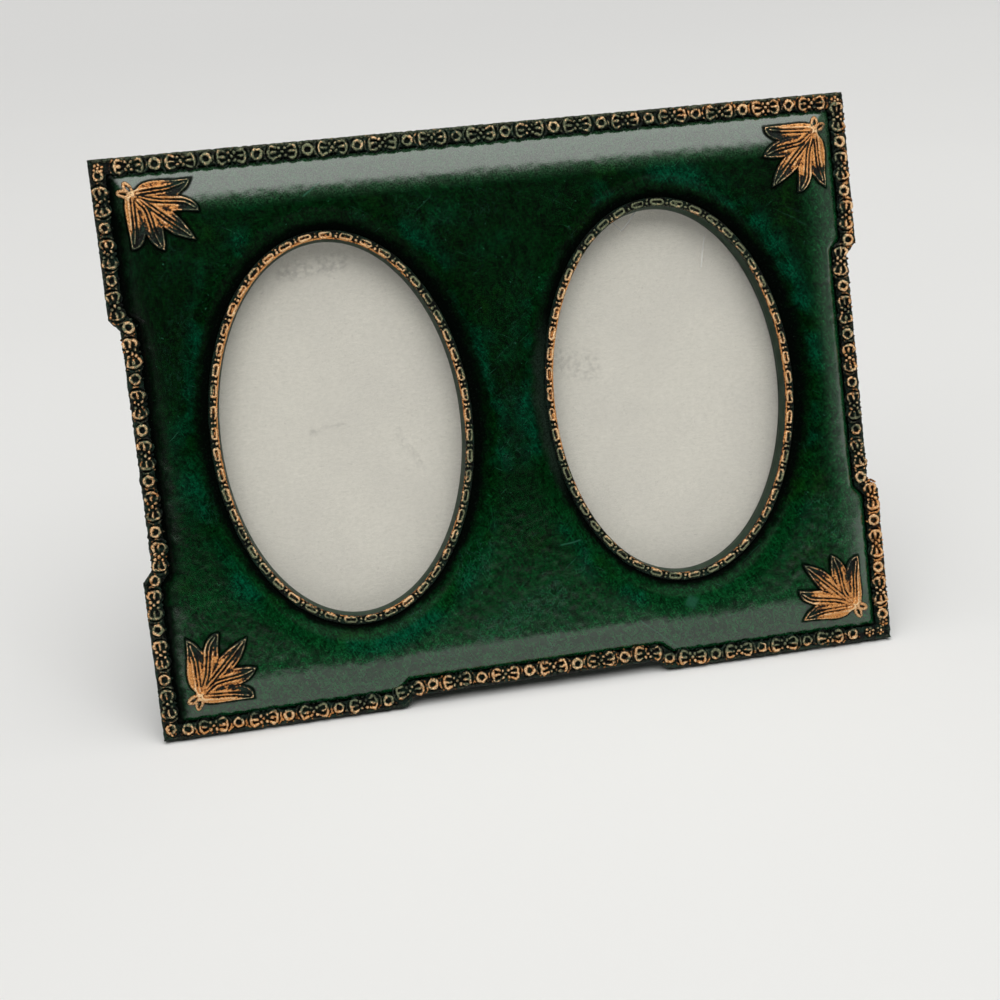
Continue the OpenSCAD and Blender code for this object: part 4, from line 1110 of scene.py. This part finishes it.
def corner_leaf(corner, seed):
    """A leaf turned to its corner and laid on the pad."""
    grid = staggered(np.arange(*LEAF_LONG, LEAF_STEP),
                     np.arange(*LEAF_WIDE, LEAF_STEP * ROW_PITCH), LEAF_STEP)
    keep = inside_leaf(*grid.T) & (away_from(LEAF_EDGE, *grid.T, closed=True)[0] > LEAF_STEP * EDGE_CLEAR)
    rim = len(LEAF_EDGE)
    flat, triangles = triangulated(np.concatenate([LEAF_EDGE, grid[keep]]),
                                   [(i, (i + 1) % rim) for i in range(rim)], 1, 1e-6)
    h, tip = leaf_height(*flat.T, seed)
    h[:rim] = np.minimum(h[:rim], 0.22)
    count = len(flat)
    faces = [tuple(t) for t in triangles] + [tuple(count + i for i in reversed(t)) for t in triangles]
    faces += [(i, (i + 1) % rim, count + (i + 1) % rim, count + i) for i in range(rim)]
    shells = [(np.concatenate([np.column_stack([flat, h]), at_height(flat, 0.0)]), faces,
               {"height": np.concatenate([(h - 0.28) / 0.34, np.zeros(count)]),
                "rubbed": np.tile(LEAF_RUBBED[corner] - 0.80 * tip, 2)})]
    t = np.linspace(0, 2 * math.pi, 22, endpoint=False)
    for angle in BRACT_ANGLES:
        x = BRACT_LENGTH * (0.5 - 0.5 * np.cos(t)) * 0.92
        y = (BRACT_WIDTH / 2 - BRACT_WIRE) * np.sin(t) * (0.75 + 0.25 * np.sin(x / BRACT_LENGTH * math.pi))
        points, faces, _ = tube(at_height(np.column_stack([x, y]), BRACT_HEIGHT), BRACT_WIRE, 8,
                                closed=True, squash=0.85)
        shells.append((turned_by(points, angle), faces, {"height": points[:, 2] / 0.7, "rubbed": 0.50}))
    points, faces, _ = bead((0.2, 0, 0.3), 1.0, 0.36)
    points, faces, marks = stacked(*shells, (points, faces, {"height": 0.75, "rubbed": 0.65}))
    u, v = (turned_by(points, CORNERS[corner][2])[:, :2] + leaf_root(corner)).T
    return np.column_stack([u, v, pad_height(u, v) + LEAF_SEAT + np.maximum(points[:, 2], 0)]), faces, marks


for seed, corner in enumerate(CORNERS):
    points, faces, marks = corner_leaf(corner, 7.0 * seed)
    leaf = piece("leaf_ornament_" + corner, points, faces, aged_copper, **marks)
    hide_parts("leaf_" + corner)
    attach(leaf, "frame_body")


# Panes: flat sheets of clear acetate with softened edges that drop into the pockets from behind,
# a hair clear of the cards, faintly scratched on their front.
PANE_EDGE, PANE_GAP, PANE_FRONT = 0.12, 0.05, (-4.3, -3.9)
PANE_SCRATCHES = (((29.1, 109.8), (32.6, 106.1)), ((32.6, 106.1), (37.7, 111.8)),
                  ((52.7, 102.9), (51.1, 95.4)))
clear_pane, tree, surface = finish_of("clear_pane", Roughness=0.12, Base_Color=(0.98, 0.98, 0.96, 1.0))
where = face_millimetres(tree)
wear = most(span(cloud(where, 1.6, 4.0, 0.7), 0.66, 0.74, 0.03, 0.10),
            *(times(near_line(where, line, 0.22), 0.45) for line in PANE_SCRATCHES))
feed(surface, "Alpha", step("ADD", times(wear, span(part_of(where, "Z"), *PANE_FRONT)), 0.02))
for side in ("left", "right"):
    u, v, w = face_place([p.co for p in frame["nodes"]["pane_" + side].data.vertices])
    behind, before = w.min() + PANE_GAP, w.max()
    rows = []
    for inset, rise in ((PANE_EDGE, behind), (0, behind + PANE_EDGE), (0, before - PANE_EDGE),
                        (PANE_EDGE, before)):
        near, far, low, high = u.min() + inset, u.max() - inset, v.min() + inset, v.max() - inset
        rows.append(at_height(rounded([(near, low), (far, low), (far, high), (near, high)], 0.8), rise))
    pane = piece("clear_sheet_" + side, *plated(rows), clear_pane, smooth=False)
    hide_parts("pane_" + side)
    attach(pane, "frame_body")


# Cards: blank off-white fibrous card behind each pane, a little smudged. The solids of the cards
# are shown as they are, in this finish.
# Smudges: from, to, half-width, strength
SMUDGES = ((((-50.0, 104.2), (-33.0, 105.8)), 3.0, 0.42), (((-47.3, 66.9), (-38.5, 67.7)), 0.9, 0.3),
           (((-26.9, 65.2), (-20.9, 54.9)), 1.2, 0.25), (((13.2, 76.9), (24.0, 74.2)), 5.0, 0.3))
blank_card, tree, surface = finish_of("off_white_card", Roughness=0.85)
where = face_millimetres(tree)
speckle = span(cloud(where, 2.2, 2.0, 0.7), 0.64, 0.73)
grit = span(cloud(where, 3.4, 2.0, 0.8), 0.30, 0.70)
fibre = cloud(where, 1.1, 4.0, 0.65, stretch=(0.7, 1.6, 1.0))
smoke = cloud(where, 0.8, 4.0, 0.7)
paper = blended(span(fibre, 0.3, 0.7), (0.70, 0.68, 0.60), (0.79, 0.765, 0.68))
for share, colour in ((span(cloud(where, 0.05, 2.0), 0.35, 0.7, 0.0, 0.25), (0.575, 0.555, 0.505)),
                      (times(grit, 0.32), (0.40, 0.385, 0.345)), (times(speckle, 0.4), (0.23, 0.21, 0.18))):
    paper = blended(share, paper, colour)
for line, width, share in SMUDGES:
    stain = times(near_line(where, line, width, 1.5), span(smoke, 0.38, 0.68, 0.0, share))
    paper = blended(stain, paper, (0.20, 0.19, 0.17))
feed(surface, "Base Color", paper)
relief(surface, fibre, 0.25, 0.0001)
for side in ("left", "right"):
    card = frame["nodes"]["insert_card_" + side]
    card.data.materials.clear()
    card.data.materials.append(blank_card)


# Boards: pressed fibreboard, one cut to drop into the collar and held by the turn buttons, one the
# core of the leg.
# Faces larger than this, in square metres, are shaded flat, the rest smooth up to sharp edges
BROAD_FACE, EVEN_ANGLE, EDGE_ANGLE, SHARP_ANGLE = 25e-6, 3, 32, 40


def softened(name, cad_node, body, material, edge):
    """A CAD piece with its sharp edges broken, in its own finish."""
    work = bmesh.new()
    work.from_mesh(frame["nodes"][cad_node].data)
    bmesh.ops.remove_doubles(work, verts=work.verts, dist=2e-6)
    bmesh.ops.dissolve_limit(work, angle_limit=math.radians(EVEN_ANGLE), verts=work.verts, edges=work.edges)
    mesh = bpy.data.meshes.new(name)
    work.to_mesh(mesh)
    work.free()
    mesh.materials.clear()
    mesh.materials.append(material)
    made = placed(name, mesh)
    bevel = made.modifiers.new("broken_edges", "BEVEL")
    bevel.width, bevel.segments, bevel.limit_method = edge / 1000, 2, "ANGLE"
    bevel.angle_limit, bevel.harden_normals = math.radians(EDGE_ANGLE), False
    done = evaluated(made)
    made.modifiers.clear()
    made.data = done
    done.name = name
    done.polygons.foreach_set("use_smooth", [face.area < BROAD_FACE for face in done.polygons])
    done.set_sharp_from_angle(angle=math.radians(SHARP_ANGLE))
    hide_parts(cad_node)
    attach(made, body)


pressed_board, tree, surface = finish_of("fibreboard", Roughness=0.8)
where = face_millimetres(tree)
pulp = cloud(where, 1.4, 5.0, 0.7)
feed(surface, "Base Color", blended(span(pulp, 0.3, 0.7), (0.060, 0.040, 0.025), (0.115, 0.080, 0.052)))
relief(surface, pulp, 0.4, 0.0001)
softened("backing_board", "back_board", "frame_body", pressed_board, 0.15)
softened("leg_board", "easel_leg", "leg", pressed_board, 0.15)


# Velvet: black flocked cloth glued to the back board and turned round the leg, with a short nap
# that is brushed in places.
nap_velvet, tree, surface = finish_of("black_velvet", Roughness=0.9, Sheen_Weight=0.5, Sheen_Roughness=0.45,
                                      Sheen_Tint=(0.55, 0.58, 0.60, 1.0))
where = face_millimetres(tree)
pile = cloud(where, 5.5, 3.0, 0.7)
brushed = cloud(where, 0.09, 3.0, 0.6, stretch=(1.0, 0.45, 1.0), warp=0.6)
feed(surface, "Base Color", blended(span(brushed, 0.3, 0.7), (0.0045, 0.005, 0.0055), (0.020, 0.022, 0.024)))
relief(surface, step("MULTIPLY_ADD", brushed, 1.5, pile), 0.6, 0.0002)
softened("backing_velvet", "back_velvet", "frame_body", nap_velvet, 0.18)
softened("leg_cover", "leg_velvet", "leg", nap_velvet, 0.12)


# Hardware: brass turn buttons, screws, hinge and rivets, dulled and spotted with age. The screws
# hold the buttons to the collar, the rivets the hinge's plates to the back and the leg.
aged_brass, tree, surface = finish_of("aged_brass", Metallic=1.0, Roughness=0.36)
where = face_millimetres(tree)
spots = cloud(where, 0.22, 5.0, 0.6, warp=0.4)
freckles = span(cloud(where, 1.4, 3.0, 0.6), 0.62, 0.72, 0.0, 0.6)
tone = blended(span(spots, 0.30, 0.70), (0.30, 0.205, 0.092), (0.58, 0.42, 0.19))
feed(surface, "Base Color", blended(freckles, tone, (0.11, 0.075, 0.035)))
feed(surface, "Roughness", span(spots, 0.3, 0.7, 0.55, 0.3))
relief(surface, cloud(where, 2.0, 3.0, 0.6, stretch=(0.15, 2.5, 1.0)), 0.25, 0.00008)
for place in ("top_left", "top_right", "bottom_left", "bottom_right"):
    softened("button_" + place, "turn_button_" + place, "turn_button_" + place, aged_brass,
             0.22)
for name, cad_node, body, edge in (
        ("screws", "button_screws", "frame_body", 0.12),
        ("hinge_back", "hinge_back_plate", "frame_body", 0.12),
        ("pin", "hinge_pin", "frame_body", 0.12),
        ("rivets_back", "back_plate_rivets", "frame_body", 0.15),
        ("hinge_leg", "hinge_leg_plate", "leg", 0.12),
        ("rivets_leg", "leg_plate_rivets", "leg", 0.15)):
    softened(name, cad_node, body, aged_brass, edge)
